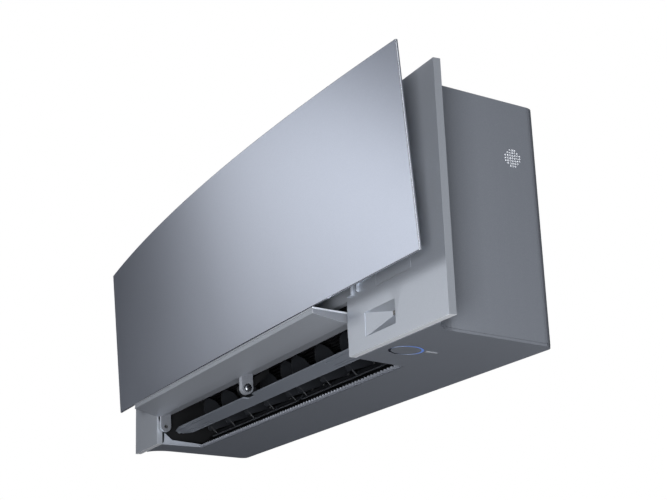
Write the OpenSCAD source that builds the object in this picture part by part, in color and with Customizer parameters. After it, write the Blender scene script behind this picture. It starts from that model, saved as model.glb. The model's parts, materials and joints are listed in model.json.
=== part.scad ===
// Wall-hung air conditioner indoor unit, as it stands when it runs: the bowed
// front panel is pushed forward and the air flap is swung up under it.
// Millimetres. +X is the viewer's right, -Y faces the room and +Z is up.
// The origin lies on the wall, at the middle of the four wall-plate screws.

/* [Casing] */
// Width of the front frame
frame_w = 998; // [980:1:1040]
// Height of the front frame
frame_h = 284; // [278:1:296]
// Thickness of the front frame's edge
frame_t = 9; // [8:0.5:11]
// Thickness of the front frame's skin inside the body
skin_t = 3; // [2.5:0.25:3.5]
// Distance from the wall to the front frame's face, at its ends
front_d = 171; // [170:1:176]
// How far the middle of the front frame stands ahead of its ends
frame_bulge = 5.5; // [3:0.5:7]
// Width of the body just behind the front frame
body_front_w = 886; // [882:1:900]
// Width of the body at the wall
body_wall_w = 880; // [872:1:884]
// Height of the body just behind the front frame
body_front_h = 283.5; // [278:0.5:283.5]
// Height of the body at the wall
body_wall_h = 272; // [268:1:276]
// How much lower the bottom is at the wall than at the front
bottom_drop = 11; // [9:0.5:12]
// Wall of the moulded covers
wall_t = 3; // [2.5:0.25:3.5]
// Radius of the upright edges at the wall
corner_r = 12; // [10:1:16]
// Radius of the hollow blend between the front frame and the sides
flare_r = 33; // [28:1:36]
// Height of the wall-plate screws' middle above the frame's lower edge
mount_h = 150; // [145:1:155]

/* [Front panel] */
// Width of the front panel
panel_w = 990; // [970:1:996]
// Thickness of the front panel
panel_t = 3; // [2.5:0.25:3.5]
// Height of the front panel's lower edge
panel_low_z = 66.5; // [64:0.5:70]
// Height of the front panel's upper edge
panel_top_z = 300; // [294:1:306]
// Distance from the frame's face to the panel's face at the lower corners
panel_low_out = 28; // [27.5:0.5:32]
// Distance from the frame's face to the panel's face at the upper corners
panel_top_out = 43; // [41:1:46]
// Bulge of the panel's lower edge
panel_low_bulge = 5; // [4.5:0.5:8]
// Bulge of the panel's upper edge
panel_top_bulge = 25; // [20:1:30]

/* [Air outlet] */
// Distance from the middle to the outlet's left end
outlet_left = 387; // [384:1:388]
// Distance from the middle to the outlet's right end
outlet_right = 283; // [280:1:284]
// How much each end of the outlet draws in towards the back
outlet_taper = 9; // [7:0.5:11]
// Depth of the outlet in the bottom, from the frame's face
outlet_depth = 65.5; // [65:0.5:68]
// Height of the outlet in the front frame
mouth_h = 66; // [65.5:0.5:67]
// Distance from one rib of the comb behind the outlet to the next
comb_pitch = 8.5; // [7:0.5:12]

/* [Flap] */
// Distance of the flap's pivot behind the frame's face
pivot_in = 9.5; // [9:0.25:10.5]
// Height of the flap's pivot
pivot_up = 26.5; // [26:0.25:28]
// Thickness of the flap's outer skin
flap_skin_t = 2.2; // [1.8:0.1:2.6]
// Greatest thickness of the flap behind its skin
flap_belly_t = 10.5; // [9:0.25:11]
// Gap round the ends and the far edge of the closed flap
flap_gap = 1.5; // [1.2:0.1:2]
// Tilt of the open flap above level, in degrees
flap_tilt = 6.5; // [4:0.5:8]
// Width of a flap arm
arm_w = 16.5; // [15:0.5:17]
// Radius of the flap's pivot pins
pin_r = 3; // [2.5:0.25:3.5]

/* [Louver] */
// Chord of the inner louver
louver_chord = 25; // [22:0.5:26]
// Thickness of the inner louver
louver_t = 2.2; // [1.8:0.1:2.6]
// Tilt of the louver at rest, in degrees
louver_tilt = 14; // [10:1:16]

/* [Upright vanes] */
// Distance from one vane to the next
vane_pitch = 73; // [70:1:74]
// Thickness of a vane
vane_t = 2; // [1.6:0.1:2.4]
// Reach of a vane's peg from its pivot
vane_reach = 30; // [28:0.5:31]

/* [Fan] */
// Radius of the cross-flow fan
fan_r = 47; // [44:0.5:48]
// Number of blades round the fan
fan_blades = 28; // [20:1:32]
// Number of sections along the fan
fan_discs = 3; // [2:1:4]
// Radius of the fan's shafts
shaft_r = 4; // [3.5:0.25:5]
// Radius of the fan motor
motor_r = 38; // [34:1:40]

/* [Indicator] */
// Outer radius of the light ring in the bottom
ring_r = 20; // [17:0.5:22]
// Width of the light ring
ring_w = 2.4; // [1.8:0.1:3]

/* [Hidden] */

$fn = 48;

// One overrun serves every cut
over = 1;
// Running clearance of a pin in its bore, and the gap between seated pieces
run_gap = 0.05;
seat_gap = 0.3;
join_gap = 0.3;

// Colours
SILVER = [0.62, 0.65, 0.70];
BRIGHT = [0.76, 0.79, 0.84];
DARK = [0.10, 0.10, 0.11];
STEEL = [0.70, 0.71, 0.72];
COPPER = [0.72, 0.43, 0.28];
WHITE = [0.86, 0.87, 0.88];

// Slopes of the bottom and the top
slope = atan(bottom_drop / front_d);
back_y = -front_d + frame_t;
top_slope = atan((body_wall_h - body_front_h) / (front_d - frame_t));

// Height of the bottom's and of the top's outer face at a depth y
function bottom_z(y) = -bottom_drop * (1 + y / front_d);
function top_z(y) = body_front_h + (y - back_y) * tan(top_slope);
// Height of what stands on the bottom cover at a depth y
function bed_z(y) = bottom_z(y) + wall_t / cos(slope) + seat_gap;
// How far a bowed sheet stands ahead of its ends at x
function bow(x, half, rise) = rise * (1 - pow(x / half, 2));
// Places along a row from a to b, at most pitch apart
function spread(a, b, pitch) =
    let (n = ceil((b - a) / pitch)) [for (i = [0 : n]) a + (b - a) * i / n];

// A 2D shape in Y and Z, drawn out along X from x0 to x1
module along_x(x0, x1) {
    translate([x0, 0, 0]) rotate([90, 0, 90]) linear_extrude(x1 - x0) children();
}

// A 2D shape in X and Z, drawn out along Y from y0 to y1
module along_y(y0, y1) {
    translate([0, y1, 0]) rotate([90, 0, 0]) linear_extrude(y1 - y0) children();
}

// A round bar along X
module rod_x(x0, x1, r, y, z) {
    translate([x0, y, z]) rotate([0, 90, 0]) cylinder(r = r, h = x1 - x0);
}

// A box between two corners
module block(low, high) {
    translate(low) cube(high - low);
}

// A rectangle between two corners
module rect(low, high) {
    translate(low) square(high - low);
}

// The whole unit hangs with its wall-plate screws' middle at the origin
module placed() {
    translate([0, 0, -mount_h]) children();
}

// The sloping bottom: local Y runs from the front to the wall, local Z is inward
module on_bottom() {
    translate([0, -front_d, 0]) rotate([-slope, 0, 0]) children();
}

// Plan of a bowed sheet, t thick, whose face lies at y at the ends
bow_steps = 24;
module bowed_plan(half, y, rise, t) {
    xs = [for (i = [0 : bow_steps]) -half + 2 * half * i / bow_steps];
    polygon(concat([for (x = xs) [x, y - bow(x, half, rise)]],
        [for (i = [bow_steps : -1 : 0]) [xs[i], y + t - bow(xs[i], half, rise)]]));
}

// The frame's bowed sheet between two depths behind its face
module frame_sheet(d0, d1) {
    bowed_plan(frame_w / 2, -front_d + d0, frame_bulge, d1 - d0);
}

/* Wall plate */

plate_w = 720;
plate_h = 190;
plate_t = 1.6;
plate_screw_x = 300;
plate_screw_z = 60;
plate_screw_r = 2.6;
hook_x = 250;
hook_w = 40;
hook_z = 68;
hook_lip = 9;
window_w = 150;
window_h = 70;
window_pitch = 200;
back_t = 2.5;
back_gap = 12;

module mounting_plate() {
    shelf_d = back_gap + back_t + seat_gap + plate_t;
    color(STEEL) difference() {
        union() {
            block([-plate_w / 2, -plate_t, -plate_h / 2], [plate_w / 2, 0, plate_h / 2]);
            for (s = [-1, 1]) translate([s * hook_x, 0, hook_z]) {
                block([-hook_w / 2, -shelf_d, 0], [hook_w / 2, 0, plate_t]);
                block([-hook_w / 2, -shelf_d, 0], [hook_w / 2, plate_t - shelf_d, hook_lip]);
            }
        }
        for (sx = [-1, 1], sz = [-1, 1])
            translate([sx * plate_screw_x, over, sz * plate_screw_z]) rotate([90, 0, 0])
                cylinder(r = plate_screw_r, h = plate_t + 2 * over);
        for (i = [-1 : 1]) translate([i * window_pitch, 0, 0])
            block([-window_w / 2, -plate_t - over, -window_h / 2],
                [window_w / 2, over, window_h / 2]);
    }
}

/* Covers */

// Half of the body's plan, drawn in by inset: flared behind the frame, round at the wall
flare_steps = 8;
corner_steps = 6;
flare_sweep = 75;
function half_plan(inset) =
    let (xf = body_front_w / 2, xw = body_wall_w / 2, yk = back_y + flare_r)
    concat(
        [for (i = [0 : flare_steps])
            let (a = 180 + flare_sweep * (1 - i / flare_steps))
            [xf + flare_r + (flare_r + inset) * cos(a), yk + (flare_r + inset) * sin(a)]],
        [for (i = [0 : corner_steps])
            let (a = 90 * i / corner_steps)
            [xw - corner_r + (corner_r - inset) * cos(a),
             -corner_r + (corner_r - inset) * sin(a)]]);

// One side of the body's plan, from x_in outwards, reaching forward under the bow
side_x = 402;
module side_plan(inset, x_in, more) {
    pts = half_plan(inset);
    y0 = back_y - frame_bulge - more;
    polygon(concat([[x_in, y0], [pts[0][0] + wall_t / 2, y0]], pts,
        [[body_wall_w / 2 - corner_r, more], [x_in, more]]));
}

// The body seen from the side, from up above the bottom to down below the top
module body_profile(up, down) {
    y0 = -front_d - frame_bulge;
    polygon([[y0, bottom_z(y0) + up], [over, bottom_z(over) + up],
        [over, top_z(over) - down], [y0, top_z(y0) - down]]);
}

module side_cover() {
    low = -bottom_drop - over;
    high = frame_h + bottom_drop;
    difference() {
        intersection() {
            translate([0, 0, low]) linear_extrude(high - low) difference() {
                side_plan(0, side_x, 0);
                frame_sheet(0, frame_t + join_gap);
            }
            along_x(side_x - over, frame_w / 2)
                body_profile(wall_t / cos(slope) + join_gap, 0);
        }
        intersection() {
            translate([0, 0, low - over]) linear_extrude(high - low)
                side_plan(wall_t, side_x - over, over);
            along_x(side_x - 2 * over, frame_w / 2) body_profile(-over, wall_t);
        }
    }
}

// Round field of small holes in front of the room temperature sensor
holes_y = -37;
holes_z = 206.5;
holes_r = 10.8;
hole_step = 3.2;
hole_r = 0.9;
module sensor_holes() {
    n = floor(holes_r / hole_step);
    for (i = [-n : n], j = [-n : n])
        if (norm([i, j]) * hole_step < holes_r)
            translate([body_wall_w / 2 - 2 * wall_t, holes_y + i * hole_step,
                holes_z + j * hole_step])
                rotate([0, 90, 0]) cylinder(r = hole_r, h = 4 * wall_t, $fn = 6);
}

module side_cover_right() {
    color(SILVER) difference() {
        side_cover();
        sensor_holes();
    }
}

module side_cover_left() {
    color(SILVER) mirror([1, 0, 0]) side_cover();
}

// Outlet opening in the bottom, drawn in by gap at the ends and at the far edge
module outlet_plan(gap, near, far) {
    xs = [for (i = [0 : bow_steps]) let (a = -outlet_left + gap, b = outlet_right - gap)
        a + (b - a) * i / bow_steps];
    polygon(concat([for (x = xs) [x, near - bow(x, frame_w / 2, frame_bulge)]],
        [[outlet_right - outlet_taper - gap, far], [-outlet_left + outlet_taper + gap, far]]));
}

// Lip along each end of the outlet: low along the bottom, rising steeply at the frame
lip_t = 2.5;
lip_h = 8;
lip_rise = 30;
lip_top = 42.5;
lip_knee = [7.5, 20];
lip_foot = 22;
comb_d = 8.5;
module lip_profile() {
    polygon([[skin_t + seat_gap, 0], [outlet_depth + comb_d, 0],
        [outlet_depth + comb_d, lip_h / 2], [outlet_depth, lip_h - wall_t], [lip_foot, lip_h],
        lip_knee, [skin_t + seat_gap, lip_rise]]);
}

ring_x = 344;
ring_v = 37;
groove_d = 1.4;
button_x = 350.5;
button_v = 66;
button_l = 14;
button_w = 4;
button_flange = 2.5;
button_flange_t = 1.2;
button_proud = 0.6;

module bottom_plan() {
    pts = [for (p = half_plan(0)) [p[0], p[1] / cos(slope)]];
    right = concat([[pts[0][0] + wall_t / 2, back_y - frame_bulge]], pts);
    difference() {
        polygon(concat(right, [for (i = [len(right) - 1 : -1 : 0])
            [-right[i][0], right[i][1]]]));
        frame_sheet(-frame_bulge, frame_t + join_gap);
    }
}

module bottom_cover() {
    color(SILVER) on_bottom() {
        difference() {
            linear_extrude(wall_t) difference() {
                translate([0, front_d, 0]) bottom_plan();
                outlet_plan(0, 0, outlet_depth + comb_d);
                translate([button_x - button_w / 2 - seat_gap,
                    button_v - button_l / 2 - seat_gap])
                    square([button_w + 2 * seat_gap, button_l + 2 * seat_gap]);
            }
            translate([ring_x, ring_v, -over]) difference() {
                cylinder(r = ring_r + seat_gap, h = groove_d + over);
                translate([0, 0, -over])
                    cylinder(r = ring_r - ring_w - seat_gap, h = groove_d + 3 * over);
            }
        }
        intersection() {
            linear_extrude(lip_rise) lip_plan();
            along_x(-outlet_left - lip_t - over, outlet_right + lip_t + over) lip_profile();
        }
    }
}

// Plan of the two lips, which follow the outlet's slanted ends
module lip_plan() {
    far = outlet_depth + comb_d - seat_gap;
    for (e = [[-1, outlet_left], [1, outlet_right]])
        polygon([[e[0] * e[1], frame_t + join_gap],
            [e[0] * (e[1] + lip_t), frame_t + join_gap],
            [e[0] * (e[1] + lip_t - outlet_taper), far],
            [e[0] * (e[1] - outlet_taper), far]]);
}

// Comb behind the outlet: a bar with a row of teeth that point forward
tooth_t = 2.6;
comb_bar = 2.2;
module outlet_comb() {
    x0 = -outlet_left + outlet_taper + seat_gap;
    x1 = outlet_right - outlet_taper - seat_gap;
    y1 = outlet_depth + comb_d - seat_gap;
    color(BRIGHT) on_bottom() linear_extrude(wall_t) {
        rect([x0, y1 - comb_bar], [x1, y1]);
        for (x = spread(x0, x1 - tooth_t, comb_pitch))
            rect([x, outlet_depth], [x + tooth_t, y1 - comb_bar / 2]);
    }
}

module indicator_ring() {
    color([0.25, 0.5, 0.95]) on_bottom() translate([ring_x, ring_v, 0]) difference() {
        cylinder(r = ring_r, h = groove_d - seat_gap);
        translate([0, 0, -over]) cylinder(r = ring_r - ring_w, h = groove_d + 2 * over);
    }
}

module on_off_button() {
    color(BRIGHT) on_bottom() translate([button_x, button_v, 0]) {
        block([-button_w / 2, -button_l / 2, -button_proud],
            [button_w / 2, button_l / 2, wall_t + seat_gap]);
        block([-button_w / 2 - button_flange, -button_l / 2 - button_flange,
            wall_t + seat_gap], [button_w / 2 + button_flange,
            button_l / 2 + button_flange, wall_t + seat_gap + button_flange_t]);
    }
}

// Top grille: long slots between rails, on a plate with down-turned edges
grille_bar = 3;
slot_d = 6.5;
slot_l = 92;
grille_edge = 10;
grille_lip = 6;
module intake_grille() {
    half = side_x - join_gap;
    depth = front_d - frame_t;
    rows = floor((depth - 2 * grille_edge) / (slot_d + grille_bar));
    cols = floor((2 * half - 2 * grille_edge) / (slot_l + grille_bar));
    col_p = (2 * half - 2 * grille_edge) / cols;
    y0 = -grille_edge - rows * (slot_d + grille_bar);
    color(SILVER) difference() {
        intersection() {
            translate([0, 0, body_wall_h - 2 * grille_edge])
                linear_extrude(4 * grille_edge) difference() {
                    rect([-half, back_y - frame_bulge], [half, -seat_gap]);
                    frame_sheet(0, frame_t + join_gap);
                }
            along_x(-half - over, half + over) difference() {
                body_profile(0, 0);
                body_profile(-over, grille_lip);
            }
        }
        along_x(-half + wall_t, half - wall_t) intersection() {
            body_profile(0, wall_t);
            rect([y0 - wall_t, 0], [-grille_edge + wall_t, frame_h]);
        }
        translate([0, 0, body_wall_h - 2 * grille_edge]) linear_extrude(4 * grille_edge)
            for (i = [0 : rows - 1], j = [0 : cols - 1])
                translate([-half + grille_edge + j * col_p + grille_bar / 2,
                    y0 + i * (slot_d + grille_bar)])
                    square([col_p - grille_bar, slot_d]);
    }
}

/* Front frame */

pocket_edge = 4;
filter_left = 380;
filter_right = 300;
filter_low = 98;
filter_high = 250;
arm_x = 405;
arm_z = 200;
rack_w = 10;
rack_h = 12;
rack_gap = 0.4;
slot_gap = 5;
hatch_x0 = 353;
hatch_x1 = 430;
hatch_z0 = 67;
hatch_z1 = 180;
hatch_d = 2;
recess_x0 = 323.5;
recess_x1 = 392.5;
recess_z0 = 15;
recess_z1 = 43;
recess_d = 10;
eye_x = 374;
eye_z = 32;
eye_w = 5;
eye_t = 2;
catch_x = 299;
catch_z = 69;
catch_w = 12;
catch_h = 12.5;
catch_d = 3;
catch_t = 1.6;

// The bowed sheet between two depths, cut to a window in X and Z
module sheet_window(d0, d1, low, high) {
    intersection() {
        linear_extrude(frame_h) frame_sheet(d0, d1);
        block([low[0], -front_d - 2 * frame_bulge, low[1]], [high[0], 0, high[1]]);
    }
}

module recess_cone(grow, d) {
    y = -front_d - bow(recess_x0, frame_w / 2, frame_bulge);
    hull() {
        block([recess_x0 - grow, y, recess_z0 - grow],
            [recess_x1 + grow, y + over, recess_z1 + grow]);
        block([eye_x - eye_w / 2 - grow, y + d, eye_z - eye_w / 2 - grow],
            [eye_x + eye_w / 2 + grow, y + d + over, eye_z + eye_w / 2 + grow]);
    }
}

module front_frame() {
    pocket_x = body_front_w / 2 - wall_t;
    eye_y = -front_d - bow(recess_x0, frame_w / 2, frame_bulge) + recess_d;
    color(SILVER) difference() {
        union() {
            difference() {
                linear_extrude(frame_h) frame_sheet(0, frame_t);
                sheet_window(skin_t, frame_t + over, [-pocket_x, pocket_edge],
                    [pocket_x, body_front_h - wall_t]);
            }
            // Returns along the ends and the top of the outlet
            for (e = [[-outlet_left - lip_t, -outlet_left],
                [outlet_right, outlet_right + lip_t]])
                intersection() {
                    sheet_window(0, frame_t, [e[0], 0], [e[1], mouth_h]);
                    along_x(e[0] - over, e[1] + over) polygon([[-front_d - frame_bulge, 0],
                        [back_y, 0], [back_y, lip_knee[1] - over],
                        [-front_d + lip_knee[0], lip_knee[1]], [-front_d, lip_top],
                        [-front_d - frame_bulge, mouth_h]]);
                }
            sheet_window(0, frame_t, [-outlet_left - lip_t, mouth_h],
                [outlet_right + lip_t, mouth_h + lip_t]);
            // Hollow behind the sensor recess
            intersection() {
                recess_cone(wall_t, recess_d);
                block([recess_x0 - frame_t, -front_d, pocket_edge],
                    [recess_x1 + frame_t, 0, recess_z1 + frame_t]);
            }
            // Two small catches above the outlet
            translate([catch_x, -front_d - bow(catch_x, frame_w / 2, frame_bulge), catch_z]) {
                block([-catch_t, -catch_d, 0], [0, over, catch_h]);
                block([-catch_w, -catch_d, 0], [0, over, catch_t]);
                block([catch_w, -catch_d, catch_t], [catch_w + catch_t, over, catch_h]);
                block([catch_w, -catch_d, catch_h - catch_t], [3 * catch_w, over, catch_h]);
            }
        }
        sheet_window(-frame_bulge, frame_t + over, [-outlet_left, -over],
            [outlet_right, mouth_h]);
        sheet_window(-frame_bulge, frame_t + over, [-filter_left, filter_low],
            [filter_right, filter_high]);
        sheet_window(-over, hatch_d, [hatch_x0, hatch_z0], [hatch_x1, hatch_z1]);
        for (s = [-1, 1]) translate([s * arm_x, -front_d, arm_z])
            block([-rack_w / 2 - slot_gap, -2 * frame_bulge, -rack_h / 2 - slot_gap],
                [rack_w / 2 + slot_gap, frame_t, rack_h / 2 + slot_gap]);
        recess_cone(0, recess_d);
        block([eye_x - eye_w / 2, eye_y - over, eye_z - eye_w / 2],
            [eye_x + eye_w / 2, eye_y + 2 * frame_t, eye_z + eye_w / 2]);
    }
}

module service_hatch() {
    color(SILVER) sheet_window(0, hatch_d - seat_gap,
        [hatch_x0 + seat_gap, hatch_z0 + seat_gap],
        [hatch_x1 - seat_gap, hatch_z1 - seat_gap]);
}

module sensor_window() {
    y = -front_d - bow(recess_x0, frame_w / 2, frame_bulge) + recess_d;
    color(DARK) block([eye_x - eye_w / 2 + run_gap, y, eye_z - eye_w / 2 + run_gap],
        [eye_x + eye_w / 2 - run_gap, y + eye_t, eye_z + eye_w / 2 - run_gap]);
}

/* Base frame, with the fan's rear guide and the air way's floor */

part_t = 3;
part_gap = 4;
way_left = -outlet_left - part_gap;
way_right = outlet_right + part_gap;
recess_in = 48;
base_half = body_wall_w / 2 - corner_r - join_gap;
base_top = top_z(0) - grille_lip - seat_gap;
recess_top = 50;
floor_a = 45.4;
floor_t = 2.5;
floor_y = -front_d + outlet_depth + comb_d;
floor_z = bed_z(floor_y);
fan_y = -80;
fan_z = 112;
scroll_y = -74;
scroll_z = 106;
scroll_top = 62;
gutter_z = 150;
pipe_rib_x = 300;
gas_r = 6.4;
gas_y = -32;
gas_z = 12;
liquid_r = 3.2;
liquid_y = -14;
liquid_z = 10;
drain_r = 8;
drain_y = -28;
drain_z = 32;
cradle_x = 306;
cradle_w = 40;

// The air way's floor: local Y runs up and back from the outlet, local Z is out of it
module on_floor() {
    translate([0, floor_y, floor_z]) rotate([floor_a, 0, 0]) children();
}

// The guide's arc is tangent to the floor
scroll_r = (scroll_z - floor_z) * cos(floor_a) - (scroll_y - floor_y) * sin(floor_a);
floor_l = (scroll_y - floor_y) * cos(floor_a) + (scroll_z - floor_z) * sin(floor_a);

// One outline: up the floor, round the guide's inner arc, back along its outer one
module guide_profile() {
    n = 32;
    polygon(concat([[floor_y, floor_z]],
        [for (i = [0 : n]) let (a = floor_a - 90 + (scroll_top + 90 - floor_a) * i / n)
            [scroll_y + scroll_r * cos(a), scroll_z + scroll_r * sin(a)]],
        [for (i = [n : -1 : 0]) let (a = floor_a - 90 + (scroll_top + 90 - floor_a) * i / n)
            [scroll_y + (scroll_r + floor_t) * cos(a), scroll_z + (scroll_r + floor_t) * sin(a)]],
        [[floor_y + floor_t * (cos(floor_a) + sin(floor_a)),
            floor_z + floor_t * (sin(floor_a) - cos(floor_a))]]));
}

module base_frame() {
    g = seat_gap;
    bed = bed_z(-recess_in);
    color(DARK) difference() {
        union() {
            // Back wall, its rims and the roof and front wall of the pipe recess
            block([-base_half, -back_gap - back_t, recess_top], [base_half, -back_gap, base_top]);
            difference() {
                union() {
                    block([-base_half, -recess_in, recess_top],
                        [base_half, -back_gap, recess_top + back_t]);
                    block([-base_half, -recess_in, bed],
                        [base_half, -recess_in + back_t, recess_top + over]);
                }
                on_floor() along_x(way_left + g + over, way_right - g - over)
                    rect([0, -floor_t / 2], [floor_l, 3 * floor_t]);
            }
            for (s = [-1, 1]) translate([s * (base_half - back_t / 2), 0, 0])
                block([-back_t / 2, -recess_in, bed], [back_t / 2, 0, base_top - over]);
            block([-base_half, -back_gap - back_t, base_top - back_t], [base_half, 0, base_top]);
            // Floor, rear guide and the gutter above it
            difference() {
                along_x(way_left + g, way_right - g) guide_profile();
                for (x = vane_xs) on_floor() translate([x, vane_pivot, -floor_t - over])
                    cylinder(r = vane_pin_r + run_gap, h = floor_t + 2 * over);
            }
            along_x(way_left + g, way_right - g) difference() {
                rect([scroll_y, gutter_z], [-back_gap, gutter_z + back_t]);
                translate([scroll_y, scroll_z]) circle(r = scroll_r + floor_t / 2, $fn = 96);
            }
            // Cradle of the fan motor
            along_x(cradle_x, cradle_x + cradle_w) difference() {
                union() {
                    translate([fan_y, fan_z]) circle(r = motor_r + seat_gap + wall_t, $fn = 96);
                    rect([fan_y, fan_z - motor_r / 2], [-back_gap, fan_z + motor_r / 2]);
                }
                translate([fan_y, fan_z]) circle(r = motor_r + seat_gap, $fn = 96);
                rect([fan_y - 2 * motor_r, fan_z - 2 * motor_r],
                    [fan_y + motor_r / 4, fan_z + 2 * motor_r]);
            }
            // Rib that holds the pipes
            block([pipe_rib_x, -recess_in, bed],
                [pipe_rib_x + part_t, -over, recess_top + over]);
        }
        for (p = [[gas_r, gas_y, gas_z], [liquid_r, liquid_y, liquid_z],
            [drain_r, drain_y, drain_z]])
            rod_x(pipe_rib_x - over, pipe_rib_x + part_t + over, p[0] + run_gap, p[1], p[2]);
        for (s = [-1, 1]) translate([s * hook_x, 0, mount_h + hook_z + plate_t])
            block([-hook_w / 2 - g, -back_gap - back_t - over, -hook_lip - 2 * plate_t],
                [hook_w / 2 + g, -back_gap + over, g]);
    }
}

/* Drain pan with the ends of the air way */

pan_y = -161;
pan_z = 65;
pan_t = 2.5;
pan_h = 30;
tongue_y = -125.5;
tongue_z = 84;
tongue_h = 7;
bearing_r = 12;
louver_in = 35;
louver_up = 20.3;
louver_pin_r = 1.5;
louver_y = -front_d + louver_in;
pivot_y = -front_d + pivot_in;
pivot_z = pivot_up;
shaft_hole = 8;
cheek_y = -156;
cheek_low = 96;
cheek_front = 180;
cheek_top = 248;
cheek_top0 = -92;
cheek_top1 = -62;
cheek_back = 168;
arm_t = 6;
arm_in = 4.5;
mid_arm_x = -56;
mid_arm_t = 10;
prop_t = 8;
prop_w = 17;
prop_knee = [-137, 50];
prop_back = [-124.5, 50];

module pan_profile() {
    polygon([[pan_y, pan_z], [tongue_y, tongue_z], [tongue_y, tongue_z + tongue_h],
        [tongue_y - pan_t, tongue_z + tongue_h], [tongue_y - 3 * pan_t, tongue_z + pan_t / 2],
        [pan_y + pan_t, pan_z + 2 * pan_t], [pan_y + pan_t, pan_z + pan_h],
        [pan_y, pan_z + pan_h]]);
}

module cheek_profile() {
    y0 = -front_d + skin_t + seat_gap;
    y1 = -recess_in - seat_gap;
    y2 = -back_gap - back_t - seat_gap;
    y3 = back_y + seat_gap;
    z0 = pocket_edge + seat_gap;
    polygon([[y0, z0], [y3, z0], [y3, bed_z(y3)], [y1, bed_z(y1)], [y1, recess_top + back_t + seat_gap],
        [y2, recess_top + back_t + seat_gap], [y2, cheek_back], [cheek_top1, cheek_top],
        [cheek_top0, cheek_top], [cheek_y, cheek_front], [cheek_y, cheek_low],
        [y0, cheek_low]]);
}

module drain_pan() {
    prop_x = mid_arm_x - run_gap - prop_t;
    color(DARK) difference() {
        union() {
            along_x(way_left - part_t / 2, way_right + part_t / 2) pan_profile();
            along_x(way_left - part_t, way_left) cheek_profile();
            along_x(way_right, way_right + part_t) cheek_profile();
            // Prop of the flap's middle pivot
            along_x(prop_x, prop_x + prop_t) {
                polygon([[pivot_y, pivot_z], [pivot_y + prop_w / 2, pivot_z], prop_back,
                    [prop_back[0], tongue_z + over], [prop_knee[0], tongue_z - prop_t / 2],
                    prop_knee, [pivot_y, pivot_z + prop_w / 2]]);
                translate([pivot_y, pivot_z]) circle(r = prop_w / 2);
            }
        }
        rod_x(way_left - part_t - over, way_left + over, pin_r + run_gap, pivot_y, pivot_z);
        rod_x(way_right - over, way_right + part_t + over, pin_r + run_gap,
            pivot_y, pivot_z);
        rod_x(prop_x - over, prop_x + prop_t + over, pin_r + run_gap, pivot_y, pivot_z);
        rod_x(way_left - part_t - over, way_left + over, louver_pin_r + run_gap,
            louver_y, louver_up);
        rod_x(way_right - over, way_right + part_t + over, louver_pin_r + run_gap,
            louver_y, louver_up);
        rod_x(way_left - part_t - over, way_left + over, bearing_r + run_gap, fan_y, fan_z);
        rod_x(way_right - over, way_right + part_t + over, shaft_hole, fan_y, fan_z);
    }
}

/* Heat exchanger and filters */

coil_t = 16;
coil_x0 = -372;
coil_x1 = 270;
fin_pitch = 10;
fin_slot = 5;
fin_d = 2;
end_t = 2;
coil_y = -143;
coil_low = 97;
coil_bend = 172;
ridge_y = -74;
ridge_z = 238;
rear_y = -31;
rear_z = 160;
tube_r = 3.2;
bend_r = 8;
bend_pitch = 24;

// A finned slab from one point of the section to another
module coil(p, q) {
    l = norm(q - p);
    a = atan2(q[1] - p[1], q[0] - p[0]);
    translate([0, p[0], p[1]]) rotate([a - 90, 0, 0]) linear_extrude(l) difference() {
        rect([coil_x0, -coil_t / 2], [coil_x1, coil_t / 2]);
        for (x = spread(coil_x0 + fin_pitch, coil_x1 - fin_pitch, fin_pitch), s = [-1, 1])
            translate([x, s * coil_t / 2]) square([fin_slot, 2 * fin_d], center = true);
    }
}

module coil_ends(p, q, foot) {
    u = (q - p) / norm(q - p);
    n = [-u[1], u[0]] * coil_t / 2;
    for (x = [coil_x0 - end_t, coil_x1])
        along_x(x, x + end_t) polygon(concat([p + n, q + n, q - n, p - n], foot));
}

front_low = [coil_y, coil_low];
front_mid = [coil_y, coil_bend];
upper_low = [coil_y + coil_t / 3, coil_bend + coil_t / 2];
upper_top = [ridge_y, ridge_z];
rear_top = [ridge_y + coil_t, ridge_z - coil_t / 3];
rear_low = [rear_y, rear_z];

module evaporator_front() {
    // The end plates stand on the pan's floor, the rear ones on the gutter
    foot_y = coil_y - coil_t / 4;
    rise = (tongue_z - pan_z) / (tongue_y - pan_y);
    foot_z = pan_z + 2 * pan_t + seat_gap + (foot_y + coil_t / 2 - pan_y) * rise;
    color(STEEL) {
        coil(front_low, front_mid);
        coil(upper_low, upper_top);
        coil_ends(front_low, front_mid,
            [[foot_y + coil_t / 2, foot_z], [foot_y, foot_z]]);
        coil_ends(upper_low, upper_top, []);
        for (x = [coil_x0 - end_t, coil_x1]) along_x(x, x + end_t)
            polygon([front_mid + [coil_t / 2, -coil_t], front_mid + [coil_t, coil_t],
                front_mid + [0, coil_t], front_mid - [coil_t / 2, coil_t]]);
    }
}

module evaporator_rear() {
    foot = gutter_z + back_t + seat_gap;
    color(STEEL) {
        coil(rear_top, rear_low);
        coil_ends(rear_top, rear_low, []);
        for (x = [coil_x0 - end_t, coil_x1]) along_x(x, x + end_t)
            rect([rear_y, foot], [rear_y + coil_t / 2, rear_z + coil_t / 4]);
    }
}

// Half-round return bends along a slab's ends
module bends(p, q) {
    l = norm(q - p);
    u = (q - p) / l;
    n = floor((l - 2 * tube_r) / bend_pitch);
    a = atan2(u[1], u[0]);
    for (i = [0 : n - 1]) {
        c = p + u * (l * (i + 1 / 2) / n);
        for (e = [[coil_x0 - end_t - run_gap, -1], [coil_x1 + end_t + run_gap, 1]])
            translate([e[0], c[0], c[1]]) rotate([a, 0, 0]) rotate([0, 0, -90 * e[1]])
                rotate_extrude(angle = 180, $fn = 32)
                    translate([bend_r, 0]) circle(r = tube_r, $fn = 16);
    }
}

module evaporator_bends() {
    color(COPPER) {
        bends(front_low, front_mid);
        bends(upper_low, upper_top);
        bends(rear_top, rear_low);
    }
}

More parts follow.
